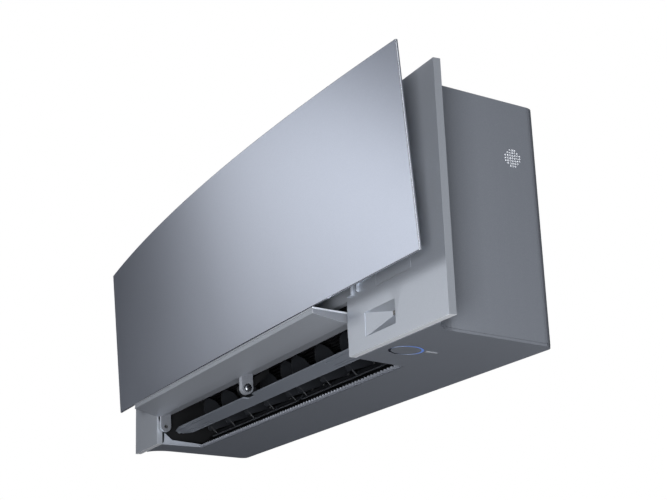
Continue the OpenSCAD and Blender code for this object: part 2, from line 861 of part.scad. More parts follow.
filter_t = 2;
filter_bar = 1.4;
filter_border = 7;
filter_cell = 22;
filter_in = 5.5;
filter_mid = -40;
filter_gap = 4;
filter_back = 130;
filter_drop = 7;
bend_out = 12;

// Openings of a net between two corners, inside its border
module net_openings(w, h) {
    nx = round((w - 2 * filter_border) / filter_cell);
    ny = round((h - 2 * filter_border) / filter_cell);
    cx = (w - 2 * filter_border) / nx;
    cy = (h - 2 * filter_border) / ny;
    for (i = [0 : nx - 1], j = [0 : ny - 1])
        translate([filter_border + i * cx + filter_bar / 2,
            filter_border + j * cy + filter_bar / 2])
            square([cx - filter_bar, cy - filter_bar]);
}

// Side view of a filter: it stands behind the frame and bends back over the heat exchanger
bend_steps = 6;
function filter_side(r, y, z0, z1) = concat([[y - r, z0]],
    [for (i = [0 : bend_steps]) let (a = 180 - (90 - top_slope) * i / bend_steps)
        [y + r * cos(a), z1 + r * sin(a)]],
    [[y - r * sin(top_slope) + filter_back * cos(top_slope),
        z1 + r * cos(top_slope) + filter_back * sin(top_slope)]]);

module air_filter(x0, x1) {
    y0 = back_y + filter_in - filter_t;
    z0 = filter_low + seat_gap;
    z1 = top_z(y0) - wall_t - filter_drop - bend_out;
    inner = filter_side(bend_out - filter_t, y0 + bend_out, z0, z1);
    color(DARK) difference() {
        along_x(x0, x1) polygon(concat(filter_side(bend_out, y0 + bend_out, z0, z1),
            [for (i = [len(inner) - 1 : -1 : 0]) inner[i]]));
        along_y(y0 - over, y0 + filter_t + over) translate([x0, z0])
            net_openings(x1 - x0, z1 - z0);
        translate([x0, y0 + bend_out, z1 - filter_t]) linear_extrude(2 * bend_out)
            net_openings(x1 - x0, filter_back * cos(top_slope));
    }
}

module air_filter_left() {
    air_filter(-filter_left + filter_gap, filter_mid - filter_gap / 2);
}

module air_filter_right() {
    air_filter(filter_mid + filter_gap / 2, filter_right - filter_gap);
}

/* Electrical parts at the right */

box_x0 = 296;
box_x1 = 392;
box_y0 = -150;
box_z0 = 158;
box_z1 = 244;
board_y = -140;
board_t = 1.6;
board_edge = 6;
chip_w = 16;
chip_h = 12;
term_x = 356;
term_w = 34;
term_z = 96;
term_h = 46;
term_d = 14;
ear_t = 3;

box_y1 = -back_gap - back_t - seat_gap;
module control_box() {
    color(WHITE) difference() {
        block([box_x0, box_y0, box_z0], [box_x1, box_y1, box_z1]);
        block([box_x0 + back_t, box_y0 - over, box_z0 + back_t],
            [box_x1 - back_t, box_y1 - back_t, box_z1 - back_t]);
    }
}

module circuit_board() {
    x0 = box_x0 + back_t + seat_gap;
    x1 = box_x1 - back_t - seat_gap;
    z0 = box_z0 + back_t + seat_gap;
    z1 = box_z1 - back_t - seat_gap;
    color([0.1, 0.4, 0.2]) {
        block([x0, board_y, z0], [x1, board_y + board_t, z1]);
        for (i = [0 : 2], j = [0 : 1])
            translate([x0 + board_edge + i * (x1 - x0) / 3, board_y - chip_h + over,
                z0 + board_edge + j * (z1 - z0) / 2])
                cube([chip_w, chip_h, chip_w + j * board_edge]);
    }
}

// Terminal block on a bracket behind the service hatch
module terminal_block() {
    y0 = -front_d + skin_t - bow(term_x + term_w, frame_w / 2, frame_bulge) + seat_gap;
    color(DARK) difference() {
        block([term_x, y0, term_z], [term_x + term_w, y0 + term_d, term_z + term_h]);
        for (i = [0 : 3])
            block([term_x + ear_t, y0 - over, term_z + ear_t + i * (term_h - ear_t) / 4],
                [term_x + term_w - ear_t, y0 + term_d / 2,
                term_z + (i + 1) * (term_h - ear_t) / 4]);
    }
}

cassette_w = 90;
cassette_h = 40;
cassette_t = 4.5;
cassette_x = 60;
cassette_z = 150;
module deodoriser_cassette() {
    y0 = back_y + filter_in + seat_gap;
    color([0.3, 0.4, 0.35]) along_y(y0, y0 + cassette_t)
        for (x = [cassette_x, -cassette_x - 2 * cassette_w]) translate([x, cassette_z])
            difference() {
                square([cassette_w, cassette_h]);
                for (i = [0 : 5], j = [0 : 2])
                    translate([ear_t + i * (cassette_w - ear_t) / 6,
                        ear_t + j * (cassette_h - ear_t) / 3])
                        square([(cassette_w - ear_t) / 6 - ear_t,
                            (cassette_h - ear_t) / 3 - ear_t]);
            }
}

/* Fan */

fan_end_gap = 10;
fan_x0 = way_left + fan_end_gap;
fan_x1 = way_right - fan_end_gap;
disc_t = 1.6;
blade_d = 11;
blade_t = 1.3;
blade_lean = 26;
hub_r = 9;
motor_x = 298;
motor_l = 66;
shaft_out = 14;

// One blade: a thin bowed strip from the rim inwards
module blade() {
    r1 = fan_r - blade_d;
    rm = fan_r - blade_d * 0.45;
    t = [1, 1] * blade_t / sqrt(8);
    p = [[fan_r, 0] - t, [rm * cos(blade_lean * 0.35), rm * sin(blade_lean * 0.35)],
        [r1 * cos(blade_lean), r1 * sin(blade_lean)]];
    polygon([p[0] - t, p[0] + t, p[1] + t, p[2] + t, p[2] - t, p[1] - t]);
}

module cross_flow_fan() {
    color(DARK) translate([0, fan_y, fan_z]) {
        difference() {
            union() {
                for (i = [0 : fan_blades - 1]) rotate([360 * i / fan_blades, 0, 0])
                    along_x(fan_x0, fan_x1) blade();
                for (x = spread(fan_x0 + over, fan_x1 - disc_t - over,
                    (fan_x1 - fan_x0) / fan_discs))
                    along_x(x, x + disc_t) polygon([for (i = [0 : fan_blades - 1])
                        (fan_r - blade_d / 4) * [cos(360 * i / fan_blades),
                            sin(360 * i / fan_blades)]]);
                rod_x(fan_x0 - over, fan_x0 + hub_r, hub_r, 0, 0);
                rod_x(fan_x1 - hub_r, fan_x1 + over, hub_r, 0, 0);
            }
            rod_x(fan_x0 - 2 * over, fan_x0 + hub_r + over, shaft_r, 0, 0);
            rod_x(fan_x1 - hub_r - over, fan_x1 + 2 * over, shaft_r, 0, 0);
        }
    }
}

module fan_shafts() {
    color(STEEL) {
        rod_x(way_left - part_t - over, fan_x0 + hub_r, shaft_r, fan_y, fan_z);
        rod_x(fan_x1 - hub_r, motor_x + shaft_out, shaft_r, fan_y, fan_z);
    }
}

module fan_bearing() {
    color(DARK) difference() {
        union() {
            rod_x(way_left - 2 * part_t, way_left, bearing_r, fan_y, fan_z);
            rod_x(way_left - 2 * part_t, way_left - part_t - run_gap, bearing_r + part_t,
                fan_y, fan_z);
        }
        rod_x(way_left - 3 * part_t, way_left + over, shaft_r + run_gap, fan_y, fan_z);
    }
}

module fan_motor() {
    color(STEEL) difference() {
        union() {
            rod_x(motor_x, motor_x + motor_l, motor_r, fan_y, fan_z);
            rod_x(motor_x - part_t, motor_x + over, 2 * shaft_r, fan_y, fan_z);
        }
        rod_x(motor_x - 2 * part_t, motor_x + shaft_out + over, shaft_r + run_gap,
            fan_y, fan_z);
    }
}

/* Pipes in the recess at the back */

pipe_x0 = 60;
pipe_x1 = 336;
nut_l = 22;
bore_share = 0.72;
module pipe(r, x0, y, z) {
    difference() {
        rod_x(x0, pipe_x1, r, y, z);
        rod_x(x0 - over, x0 + nut_l, r * bore_share, y, z);
    }
}

module refrigerant_pipes() {
    color(COPPER) {
        pipe(gas_r, pipe_x0, gas_y, gas_z);
        pipe(liquid_r, pipe_x0, liquid_y, liquid_z);
    }
}

nut_share = 1.7;
module flare_nuts() {
    color([0.8, 0.65, 0.3]) for (p = [[gas_r, gas_y, gas_z], [liquid_r, liquid_y, liquid_z]])
        difference() {
            translate([pipe_x0, p[1], p[2]]) rotate([0, 90, 0])
                cylinder(r = p[0] * nut_share, h = nut_l, $fn = 6);
            rod_x(pipe_x0 - over, pipe_x0 + nut_l + over, p[0] + run_gap, p[1], p[2]);
        }
}

drain_l = 60;
module drain_nozzle() {
    color(WHITE) difference() {
        rod_x(pipe_rib_x - drain_l, pipe_rib_x + drain_l / 2, drain_r, drain_y, drain_z);
        rod_x(pipe_rib_x - drain_l - over, pipe_rib_x, drain_r * bore_share,
            drain_y, drain_z);
    }
}

sensor_l = 22;
sensor_d = 12;
module room_sensor() {
    x1 = body_wall_w / 2 - wall_t - seat_gap;
    color(WHITE) difference() {
        block([base_half + seat_gap, holes_y - sensor_l / 2, holes_z - sensor_l / 2],
            [x1, holes_y + sensor_l / 2, holes_z + sensor_l / 2]);
        block([x1 - sensor_d / 2, holes_y - sensor_d / 2, holes_z - sensor_d / 2],
            [x1 + over, holes_y + sensor_d / 2, holes_z + sensor_d / 2]);
    }
}

/* Flap: drawn closed, flush with the bottom, then swung open about its pivot */

flap_swing = 180 - slope + flap_tilt;
pivot_l = [pivot_in * cos(slope) - pivot_up * sin(slope),
    pivot_in * sin(slope) + pivot_up * cos(slope)];
flap_near = 0.5;
flap_far = outlet_depth - flap_gap;
boss_r = 8.3;
mid_x = mid_arm_x;
left_arm_x = -outlet_left + arm_in;
right_arm_x = outlet_right - arm_in - arm_t;

module opened() {
    translate([0, pivot_y, pivot_z]) rotate([-flap_swing, 0, 0])
        translate([0, -pivot_y, -pivot_z]) on_bottom() children();
}

module flap_skin() {
    color(BRIGHT) opened() linear_extrude(flap_skin_t)
        outlet_plan(flap_gap, flap_near, flap_far);
}

// The belly's height follows shares of its greatest thickness
belly_share = [0.26, 0.92, 1, 0.84, 0.5];
belly_place_share = [0, 0.33, 0.5, 0.62, 1];
belly_in = 1.2;
groove_share = 0.35;
module flap_body() {
    color(SILVER) opened() difference() {
        union() {
            intersection() {
                linear_extrude(2 * flap_belly_t)
                    outlet_plan(flap_gap + belly_in, flap_near + belly_in, flap_far - belly_in);
                along_x(-outlet_left, outlet_right) polygon(concat(
                    [for (i = [0 : 4]) [flap_near - frame_bulge
                        + (flap_far - flap_near + frame_bulge) * belly_place_share[i],
                        flap_skin_t + flap_belly_t * belly_share[i]]],
                    [[flap_far, flap_skin_t], [flap_near - frame_bulge, flap_skin_t]]));
            }
            for (a = [[left_arm_x, arm_t], [right_arm_x, arm_t], [mid_x, mid_arm_t]])
                along_x(a[0], a[0] + a[1]) {
                    polygon([[pivot_l[0] - boss_r * 0.6, flap_skin_t + belly_in],
                        [pivot_l[0] - boss_r * 0.6 + arm_w, flap_skin_t + belly_in],
                        pivot_l + [boss_r, 0], pivot_l - [boss_r, 0]]);
                    translate(pivot_l) circle(r = boss_r);
                }
        }
        for (a = [[left_arm_x, arm_t], [right_arm_x, arm_t], [mid_x, mid_arm_t]])
            rod_x(a[0] - over, a[0] + a[1] + over, pin_r + run_gap, pivot_l[0], pivot_l[1]);
    }
}

flap_motor_r = 14;
flap_motor_l = 17;
module flap_shaft() {
    color(STEEL) rod_x(way_left - part_t - flap_motor_l / 2, left_arm_x + arm_t,
        pin_r, pivot_y, pivot_z);
}

screw_head_r = 4.2;
screw_head_t = 1.8;
module flap_pivots() {
    prop_x = mid_x - run_gap - prop_t;
    color(STEEL) {
        rod_x(right_arm_x + arm_t / 4, way_right + 2 * part_t, pin_r, pivot_y, pivot_z);
        rod_x(prop_x, mid_x + mid_arm_t + seat_gap + over, pin_r, pivot_y, pivot_z);
        rod_x(mid_x + mid_arm_t + seat_gap, mid_x + mid_arm_t + seat_gap + screw_head_t,
            screw_head_r, pivot_y, pivot_z);
    }
}

module flap_motor() {
    x1 = way_left - part_t - seat_gap;
    color(WHITE) difference() {
        rod_x(x1 - flap_motor_l, x1, flap_motor_r, pivot_y + flap_motor_r / 2, pivot_z);
        rod_x(x1 - flap_motor_l / 2 - over, x1 + over, pin_r + run_gap, pivot_y, pivot_z);
    }
}

/* Inner louver */

louver_end = 6;
louver_front_share = 0.45;
louver_end_share = 0.26;
louver_end_l = 24;
louver_collar = 2.6;
notch_x0 = -99;
notch_x1 = -66;
notch_d = 6.5;
slit_w = 1.1;
slit_share = [-0.26, 0.2, 0.38];
slit_l = 112;
slit_in = 14;
module louver() {
    x0 = way_left + louver_end;
    x1 = way_right - louver_end;
    f = -louver_chord * louver_front_share;
    b = f + louver_chord;
    e = louver_chord * louver_end_share;
    color(DARK) translate([0, louver_y, louver_up]) {
        rotate([-louver_tilt, 0, 0]) difference() {
            translate([0, 0, -louver_t / 2]) linear_extrude(louver_t) polygon([[x0, -e],
                [x0 + louver_end_l, f], [notch_x0, f], [notch_x0 + notch_d, f + notch_d],
                [notch_x1, f + notch_d], [notch_x1, f], [x1 - louver_end_l, f], [x1, -e],
                [x1, e], [x1 - louver_end_l, b], [x0 + louver_end_l, b], [x0, e]]);
            for (s = slit_share, x = [x0 + slit_in, x1 - slit_in - slit_l])
                translate([x, s * louver_chord - slit_w / 2, -louver_t])
                    cube([slit_l, slit_w, 2 * louver_t]);
        }
        rod_x(way_left - part_t, x0 + over, louver_pin_r, 0, 0);
        rod_x(x1 - over, way_right + part_t, louver_pin_r, 0, 0);
        rod_x(x0 - over, x0 + louver_collar, louver_collar, 0, 0);
        rod_x(x1 - louver_collar, x1 + over, louver_collar, 0, 0);
    }
}

louver_motor_r = 11;
module louver_motor() {
    x0 = way_right + part_t + seat_gap;
    color(WHITE) rod_x(x0, x0 + flap_motor_l, louver_motor_r, louver_y, louver_up);
}

/* Upright vanes: drawn over the floor, whose local Z is the pivots' direction */

left_x = -321;
right_x = 7;
left_count = 5;
right_count = 4;
vane_pin_r = 1.5;
vane_pivot = 37.5;
vane_up = 1;
vane_xs = concat([for (i = [0 : left_count - 1]) left_x + i * vane_pitch],
    [for (i = [0 : right_count - 1]) right_x + i * vane_pitch]);
vane_back = 41.5;
vane_heel = 33.6;
vane_tip = [4.2, 20.8];
tip_r = 3;
vane_brow = [17.6, 48.3];
vane_top = [27, 57.4];
vane_crown = 36;
vane_neck = 45;
link_up = 6.5;
link_t = 2;
link_w = 12;
link_fore = 4;
peg_r = 1.2;
foot_r = 4;

module vane(n) {
    x = vane_xs[n];
    color(DARK) on_floor() {
        along_x(x - vane_t / 2, x + vane_t / 2) polygon(concat(
            [[vane_back, vane_up], [vane_heel, vane_up]],
            [for (a = [250 : -25 : 150]) vane_tip + tip_r * [cos(a), sin(a)]],
            [vane_brow, vane_top, [vane_crown, vane_top[1]], [vane_back, vane_neck]]));
        translate([x, vane_pivot, 0]) {
            translate([0, 0, -2 * floor_t]) cylinder(r = vane_pin_r, h = 2 * floor_t + 2 * vane_up);
            translate([0, 0, seat_gap]) cylinder(r = foot_r, h = vane_up);
        }
        translate([x, vane_pivot - vane_reach, link_up - seat_gap])
            cylinder(r = peg_r, h = vane_brow[0]);
    }
}

module vane_link(first, count) {
    y0 = vane_pivot - vane_reach - link_fore;
    x0 = vane_xs[first] - link_w;
    x1 = vane_xs[first + count - 1] + link_w;
    color(DARK) on_floor() translate([0, 0, link_up]) linear_extrude(link_t) difference() {
        rect([x0, y0], [x1, y0 + link_w]);
        for (i = [first : first + count - 1])
            rect([vane_xs[i] - peg_r - rack_gap, y0 + link_fore - peg_r - rack_gap],
                [vane_xs[i] + peg_r + rack_gap, y0 + link_w + over]);
    }
}

vane_motor_r = 9;
vane_motor_h = 12;
module vane_motors() {
    color(WHITE) on_floor() for (n = [0, left_count])
        translate([vane_xs[n], vane_pivot, -floor_t - seat_gap - vane_motor_h]) difference() {
            cylinder(r = vane_motor_r, h = vane_motor_h);
            translate([0, 0, vane_motor_h - 2 * floor_t])
                cylinder(r = vane_pin_r + run_gap, h = 3 * floor_t);
        }
}

/* Front panel and its drive */

panel_cols = 24;
bevel = 1.2;
hinge_r = 2;
hinge_y = -200;
arm_back = -112;
guide_y1 = -118;
guide_wall = 3;
pinion_y = -146;
pinion_r = 8;
teeth = 12;
tooth_h = 1.1;
tooth_root = 1.5;
tooth_w = 1.5;
rack_front = -182;
rack_back = -138;
pinion_w = 8;
panel_motor_r = 12;
panel_motor_l = 20;
axle_r = 2.5;
bracket_t = 3;
bracket_z = 24;
bracket_w = 12;

function panel_share(z) = (z - panel_low_z) / (panel_top_z - panel_low_z);
function panel_rise(z) = panel_low_bulge
    + (panel_top_bulge - panel_low_bulge) * panel_share(z);
function panel_y(x, z) = -front_d - panel_low_out
    - (panel_top_out - panel_low_out) * panel_share(z) - bow(x, panel_w / 2, panel_rise(z));

// Bowed panel whose bulge grows towards the top, with a bevel round its face
module front_panel() {
    n = panel_cols;
    m = 2 * (n + 1);
    function loop(inset, d) = concat(
        [for (i = [0 : n]) let (x = (panel_w / 2 - inset) * (2 * i / n - 1),
            z = panel_low_z + inset) [x, panel_y(x, z) + d, z]],
        [for (i = [n : -1 : 0]) let (x = (panel_w / 2 - inset) * (2 * i / n - 1),
            z = panel_top_z - inset) [x, panel_y(x, z) + d, z]]);
    pts = concat(loop(bevel, 0), loop(0, bevel), loop(0, panel_t));
    sheet = [for (i = [0 : n - 1]) let (a = i, b = i + 1, c = m - 2 - i, d = m - 1 - i)
        each [[a, b, c], [a, c, d]]];
    walls = [for (k = [0 : 1], i = [0 : m - 1]) let (j = (i + 1) % m)
        each [[k * m + i, (k + 1) * m + i, (k + 1) * m + j],
            [k * m + i, (k + 1) * m + j, k * m + j]]];
    color(SILVER) polyhedron(pts, concat(sheet, walls,
        [for (f = sheet) [f[0] + 2 * m, f[2] + 2 * m, f[1] + 2 * m]]), convexity = 4);
}

// Two ears on a pad behind the panel at each arm
module panel_brackets() {
    color(WHITE) for (s = [-1, 1]) {
        near = s * arm_x - bracket_w;
        far = s * arm_x + bracket_w;
        z1 = arm_z + bracket_z;
        pad_y = max([for (x = [near, far], z = [arm_z - bracket_z, z1]) panel_y(x, z)])
            + panel_t + seat_gap;
        difference() {
            union() {
                block([near, pad_y, arm_z - bracket_z], [far, pad_y + bracket_t / 2, z1]);
                for (x = [s * arm_x - rack_w / 2 - seat_gap - bracket_t,
                    s * arm_x + rack_w / 2 + seat_gap])
                    along_x(x, x + bracket_t) polygon([[pad_y, arm_z - bracket_w],
                        [hinge_y, arm_z - 2 * hinge_r], [hinge_y + 2 * hinge_r, arm_z],
                        [hinge_y, arm_z + 2 * hinge_r], [pad_y, arm_z + bracket_w]]);
            }
            rod_x(near, far, hinge_r + run_gap, hinge_y, arm_z);
        }
    }
}

module panel_hinge_pins() {
    reach = rack_w / 2 + bracket_t + 2 * seat_gap;
    color(STEEL) for (s = [-1, 1])
        rod_x(s * arm_x - reach, s * arm_x + reach, hinge_r, hinge_y, arm_z);
}

// One tooth as a trapezium whose pitch line is at zero height
module tooth(half, up, down) {
    k = tan(20);
    polygon([[-half - down * k, -down], [half + down * k, -down],
        [half - up * k, up], [-half + up * k, up]]);
}

// A rack: a square bar with a round nose at the panel and teeth along its lower side
rack_pitch = 2 * PI * pinion_r / teeth;
rack_z = arm_z - rack_h / 2 - tooth_root;
module panel_arm(s) {
    n = floor((rack_back - rack_front) / rack_pitch);
    color(WHITE) difference() {
        union() {
            along_x(s * arm_x - rack_w / 2, s * arm_x + rack_w / 2) {
                rect([hinge_y, arm_z - rack_h / 2], [arm_back, arm_z + rack_h / 2]);
                translate([hinge_y, arm_z]) circle(r = rack_h / 2 - over);
            }
            along_x(s * arm_x - pinion_w / 2, s * arm_x + pinion_w / 2)
                for (i = [0 : n]) translate([pinion_y - rack_pitch / 2
                    - rack_pitch * round((pinion_y - rack_front) / rack_pitch - 1)
                    + i * rack_pitch, rack_z]) mirror([0, 1])
                    tooth(tooth_w / 2, tooth_h, tooth_root + seat_gap);
        }
        rod_x(s * arm_x - rack_w, s * arm_x + rack_w, hinge_r + run_gap, hinge_y, arm_z);
    }
}

module panel_arm_left() { panel_arm(-1); }
module panel_arm_right() { panel_arm(1); }

module panel_pinion(s) {
    z = rack_z - pinion_r;
    far = arm_x + rack_w / 2 + guide_wall + panel_motor_l / 2;
    color(WHITE) {
        along_x(s * arm_x - pinion_w / 2, s * arm_x + pinion_w / 2)
            translate([pinion_y, z]) {
                circle(r = pinion_r - tooth_root);
                for (i = [0 : teeth - 1]) rotate(360 * i / teeth)
                    translate([0, pinion_r]) tooth(tooth_w / 2, tooth_h, tooth_root + seat_gap);
            }
        mirror([s > 0 ? 0 : 1, 0, 0]) rod_x(arm_x, far, axle_r, pinion_y, z);
    }
}

module panel_pinion_left() { panel_pinion(-1); }
module panel_pinion_right() { panel_pinion(1); }

// Guides that carry the racks, open below for the pinions
module panel_guides() {
    half = rack_w / 2 + rack_gap;
    y0 = -front_d + skin_t + 2 * seat_gap - bow(arm_x, frame_w / 2, frame_bulge);
    color(DARK) for (s = [-1, 1]) translate([s * arm_x, 0, arm_z]) difference() {
        union() {
            block([-half - guide_wall, y0, -rack_h / 2 - rack_gap - guide_wall],
                [half + guide_wall, guide_y1, rack_h / 2 + rack_gap + guide_wall]);
            block([-half - 2 * slot_gap, y0, -rack_h / 2 - 2 * slot_gap],
                [half + 2 * slot_gap, y0 + 3 * guide_wall, rack_h / 2 + 2 * slot_gap]);
        }
        block([-rack_w / 2 - slot_gap, y0 - over, -rack_h / 2 - slot_gap],
            [rack_w / 2 + slot_gap, y0 + 2 * guide_wall, rack_h / 2 + slot_gap]);
        block([-half, y0 - over, -rack_h / 2 - rack_gap],
            [half, guide_y1 + over, rack_h / 2 + rack_gap]);
        block([-pinion_w / 2 - rack_gap, y0 - over, -rack_h],
            [pinion_w / 2 + rack_gap, guide_y1 + over, 0]);
    }
}

module panel_motors() {
    z = rack_z - pinion_r;
    x0 = arm_x + rack_w / 2 + rack_gap + guide_wall + seat_gap;
    color(STEEL) for (s = [0, 1]) mirror([s, 0, 0]) difference() {
        rod_x(x0, x0 + panel_motor_l, panel_motor_r, pinion_y, z);
        rod_x(x0 - over, x0 + panel_motor_l / 2 + over, axle_r + run_gap, pinion_y, z);
    }
}

mounting_plate();
placed() base_frame();
placed() bottom_cover();
placed() side_cover_left();
placed() side_cover_right();
placed() intake_grille();
placed() front_frame();
placed() service_hatch();
placed() drain_pan();
placed() outlet_comb();
placed() evaporator_front();
placed() evaporator_rear();
placed() evaporator_bends();
placed() air_filter_left();
placed() air_filter_right();
placed() deodoriser_cassette();
placed() control_box();
placed() circuit_board();
placed() terminal_block();
placed() fan_motor();
placed() fan_bearing();
placed() cross_flow_fan();
placed() fan_shafts();
placed() refrigerant_pipes();
placed() flare_nuts();
placed() drain_nozzle();
placed() sensor_window();
placed() indicator_ring();
placed() on_off_button();
placed() room_sensor();
placed() flap_skin();
placed() flap_body();
placed() flap_shaft();
placed() flap_pivots();
placed() flap_motor();
placed() louver();
placed() louver_motor();
placed() vane(0);  // vane_01
placed() vane(1);  // vane_02
placed() vane(2);  // vane_03
placed() vane(3);  // vane_04
placed() vane(4);  // vane_05
placed() vane(5);  // vane_06
placed() vane(6);  // vane_07
placed() vane(7);  // vane_08
placed() vane(8);  // vane_09
placed() vane_link(0, left_count);  // vane_link_left
placed() vane_link(left_count, right_count);  // vane_link_right
placed() vane_motors();
placed() panel_arm_left();
placed() panel_arm_right();
placed() panel_guides();
placed() panel_pinion_left();
placed() panel_pinion_right();
placed() panel_motors();
placed() panel_brackets();
placed() panel_hinge_pins();
placed() front_panel();
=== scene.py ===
"""The indoor unit of a mini split air conditioner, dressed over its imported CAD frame.

Sizes are written in millimetres in the unit's own frame: +X to the viewer's right, -Y into the
room, +Z up from the front frame's lower edge. row() turns them into the shared frame in metres.
"""

import json
import math

import bmesh
import bpy
from mathutils import Matrix, Vector

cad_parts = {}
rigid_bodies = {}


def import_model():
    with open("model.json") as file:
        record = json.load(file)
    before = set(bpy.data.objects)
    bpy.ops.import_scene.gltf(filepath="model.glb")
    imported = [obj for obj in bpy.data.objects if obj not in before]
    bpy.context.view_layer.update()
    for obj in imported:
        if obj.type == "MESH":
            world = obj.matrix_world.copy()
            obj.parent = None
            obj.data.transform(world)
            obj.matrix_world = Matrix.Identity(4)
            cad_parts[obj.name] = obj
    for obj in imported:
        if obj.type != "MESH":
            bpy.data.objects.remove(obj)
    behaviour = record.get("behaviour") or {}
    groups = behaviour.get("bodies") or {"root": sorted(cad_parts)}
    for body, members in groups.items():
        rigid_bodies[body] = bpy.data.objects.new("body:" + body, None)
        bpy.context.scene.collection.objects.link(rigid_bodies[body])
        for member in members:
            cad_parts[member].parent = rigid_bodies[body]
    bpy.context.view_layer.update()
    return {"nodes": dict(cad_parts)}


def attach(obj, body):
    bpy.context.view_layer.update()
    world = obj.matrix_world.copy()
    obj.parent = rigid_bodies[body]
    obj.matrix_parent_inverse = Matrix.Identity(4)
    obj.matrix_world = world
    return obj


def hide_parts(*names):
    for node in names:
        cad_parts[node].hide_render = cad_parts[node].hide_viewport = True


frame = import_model()

# ---------------------------------------------------------------- sizes, as in the part's source
MM = 0.001
MOUNT_H = 150
FRONT_D = 171
PANEL_W, PANEL_T = 990, 3
PANEL_LOW, PANEL_TOP = 66.5, 300
PANEL_OUT = (28, 43)
PANEL_RISE = (5, 25)
BOTTOM_DROP, WALL_T, SEAT = 11, 3, 0.3
SLOPE = math.atan(BOTTOM_DROP / FRONT_D)
OUTLET_L, OUTLET_R, OUTLET_TAPER, OUTLET_DEPTH = 387, 283, 9, 65.5
COMB_D, COMB_PITCH, COMB_BAR, TOOTH_T = 8.5, 8.5, 2.2, 2.6
RING_X, RING_V, RING_R = 344, 37, 20
TIP_R = 0.7
PIVOT_Y, PIVOT_Z, PIN_R = -161.5, 26.5, 3
MID_ARM_X, MID_ARM_T, ARM_T, ARM_IN, PROP_T = -56, 10, 6, 4.5, 8
FAN_Y, FAN_Z, FAN_R, FAN_X0, FAN_X1, FAN_PLAY = -80, 112, 47, -381, 277, 1
BLADES, BLADE_D, BLADE_T, SECTIONS, DISC_T = 35, 11, 1.1, 6, 1.6
HOLES_X, HOLES_Y, HOLES_Z, HOLES_R, HOLE_STEP = 440.6, -37, 206.5, 10.8, 3.2
HOLES_ACROSS, HOLE_R, HOLE_WIRE_R = 7, 0.78, 0.2
SIDE_TAPER = math.radians(1.43)
NET_Y, NET_LOW, NET_H, NET_BORDER, NET_PITCH, NET_STRAND = -157.5, 98.3, 149, 7, 2.2, 0.3
NET_SPANS = {"left": (-376, -42), "right": (-38, 296)}
COIL_X0, COIL_X1, COIL_T = -372, 270, 16
FIN_PITCH, FIN_T, FIN_PROUD, FIN_INSET, FIN_SHORT = 1.8, 0.22, 0.4, 2, 0.3
COIL_SLABS = {
    "fins_front": ((-143, 97), (-143, 172)),
    "fins_upper": ((-137.67, 180), (-74, 238)),
    "fins_rear": ((-58, 232.67), (-31, 160)),
}

# The photo's camera, from the fit to its edges, and the lamps round it
PHOTO_TURN = (62.97, -16.62, -2.22)
PHOTO_PLACE = (1.62166, -0.87248, -0.47135)
PHOTO_W, PHOTO_FOCUS, SENSOR_W = 667, 1338.82, 36
LAMP_SIZE, LAMP_FAR, LAMP_AIM = 1.1, 2.9, (0, -0.1, 0)
LAMPS = {
    "key_right": (53, -18, 118),
    "under_right": (66, -42, 39),
    "under_back": (-150, -35, 4),
    "left_far": (-48, 9, 5),
    "left_near": (-32, 10, 4.8),
    "right_side": (70, 12, 8),
    "right_back": (105, 10, 1.5),
}
FLOOR_HALF, FLOOR_Z = 14.0, -2.1
EDGE_ANGLE, NODES_ANGLE, PIN_ANGLE = 35, 30, 32


def row(x, y, z):
    """A point of the unit's own frame, in the shared frame in metres."""
    return Vector((x * MM, y * MM, (z - MOUNT_H) * MM))


def under(x, v, up=0.0):
    """A point on the sloping bottom: v back from the front, up into the unit."""
    return row(
        x,
        -FRONT_D + v * math.cos(SLOPE) + up * math.sin(SLOPE),
        -v * math.sin(SLOPE) + up * math.cos(SLOPE),
    )


# ---------------------------------------------------------------- shader groups
KINDS = {
    "vector": "NodeSocketVector",
    "colour": "NodeSocketColor",
    "number": "NodeSocketFloat",
}


class Sketch:
    """A node tree under construction: add() places a node, join() draws a link."""

    def __init__(self, tree):
        self.tree = tree
        self.column = 0

    def add(self, kind, **settings):
        node = self.tree.nodes.new(kind)
        node.location = (self.column * 180, -40 * (self.column % 7))
        self.column += 1
        for key, value in settings.items():
            setattr(node, key, value)
        return node

    def join(self, source, target):
        self.tree.links.new(source, target)

    def feed(self, socket, value):
        """A number, a colour or a link into a socket."""
        if isinstance(value, (int, float, tuple)):
            socket.default_value = value
        else:
            self.join(value, socket)

    def maths(self, operation, a, b):
        node = self.add("ShaderNodeMath", operation=operation)
        for socket, value in zip(node.inputs, (a, b)):
            self.feed(socket, value)
        return node.outputs[0]

    def vary(self, base, mask, amount):
        """base, less or more by up to half of amount as mask runs from 0 to 1."""
        swing = self.maths("MULTIPLY", self.maths("SUBTRACT", mask, 0.5), amount)
        return self.maths("ADD", base, swing)

    def blend(self, share, a, b):
        node = self.add("ShaderNodeMix", data_type="RGBA", clamp_factor=True)
        for socket, value in ((node.inputs[0], share), (node.inputs[6], a), (node.inputs[7], b)):
            self.feed(socket, value)
        return node.outputs[2]

    def spread(self, value, low, high, to_low, to_high):
        node = self.add("ShaderNodeMapRange", clamp=True)
        self.join(value, node.inputs[0])
        for socket, number in zip(node.inputs[1:5], (low, high, to_low, to_high)):
            self.feed(socket, number)
        return node.outputs[0]

    def noise(self, place, scale, detail=3.0, roughness=0.5):
        node = self.add("ShaderNodeTexNoise")
        self.join(place, node.inputs["Vector"])
        self.feed(node.inputs["Scale"], scale)
        node.inputs["Detail"].default_value = detail
        node.inputs["Roughness"].default_value = roughness
        return node.outputs[0]


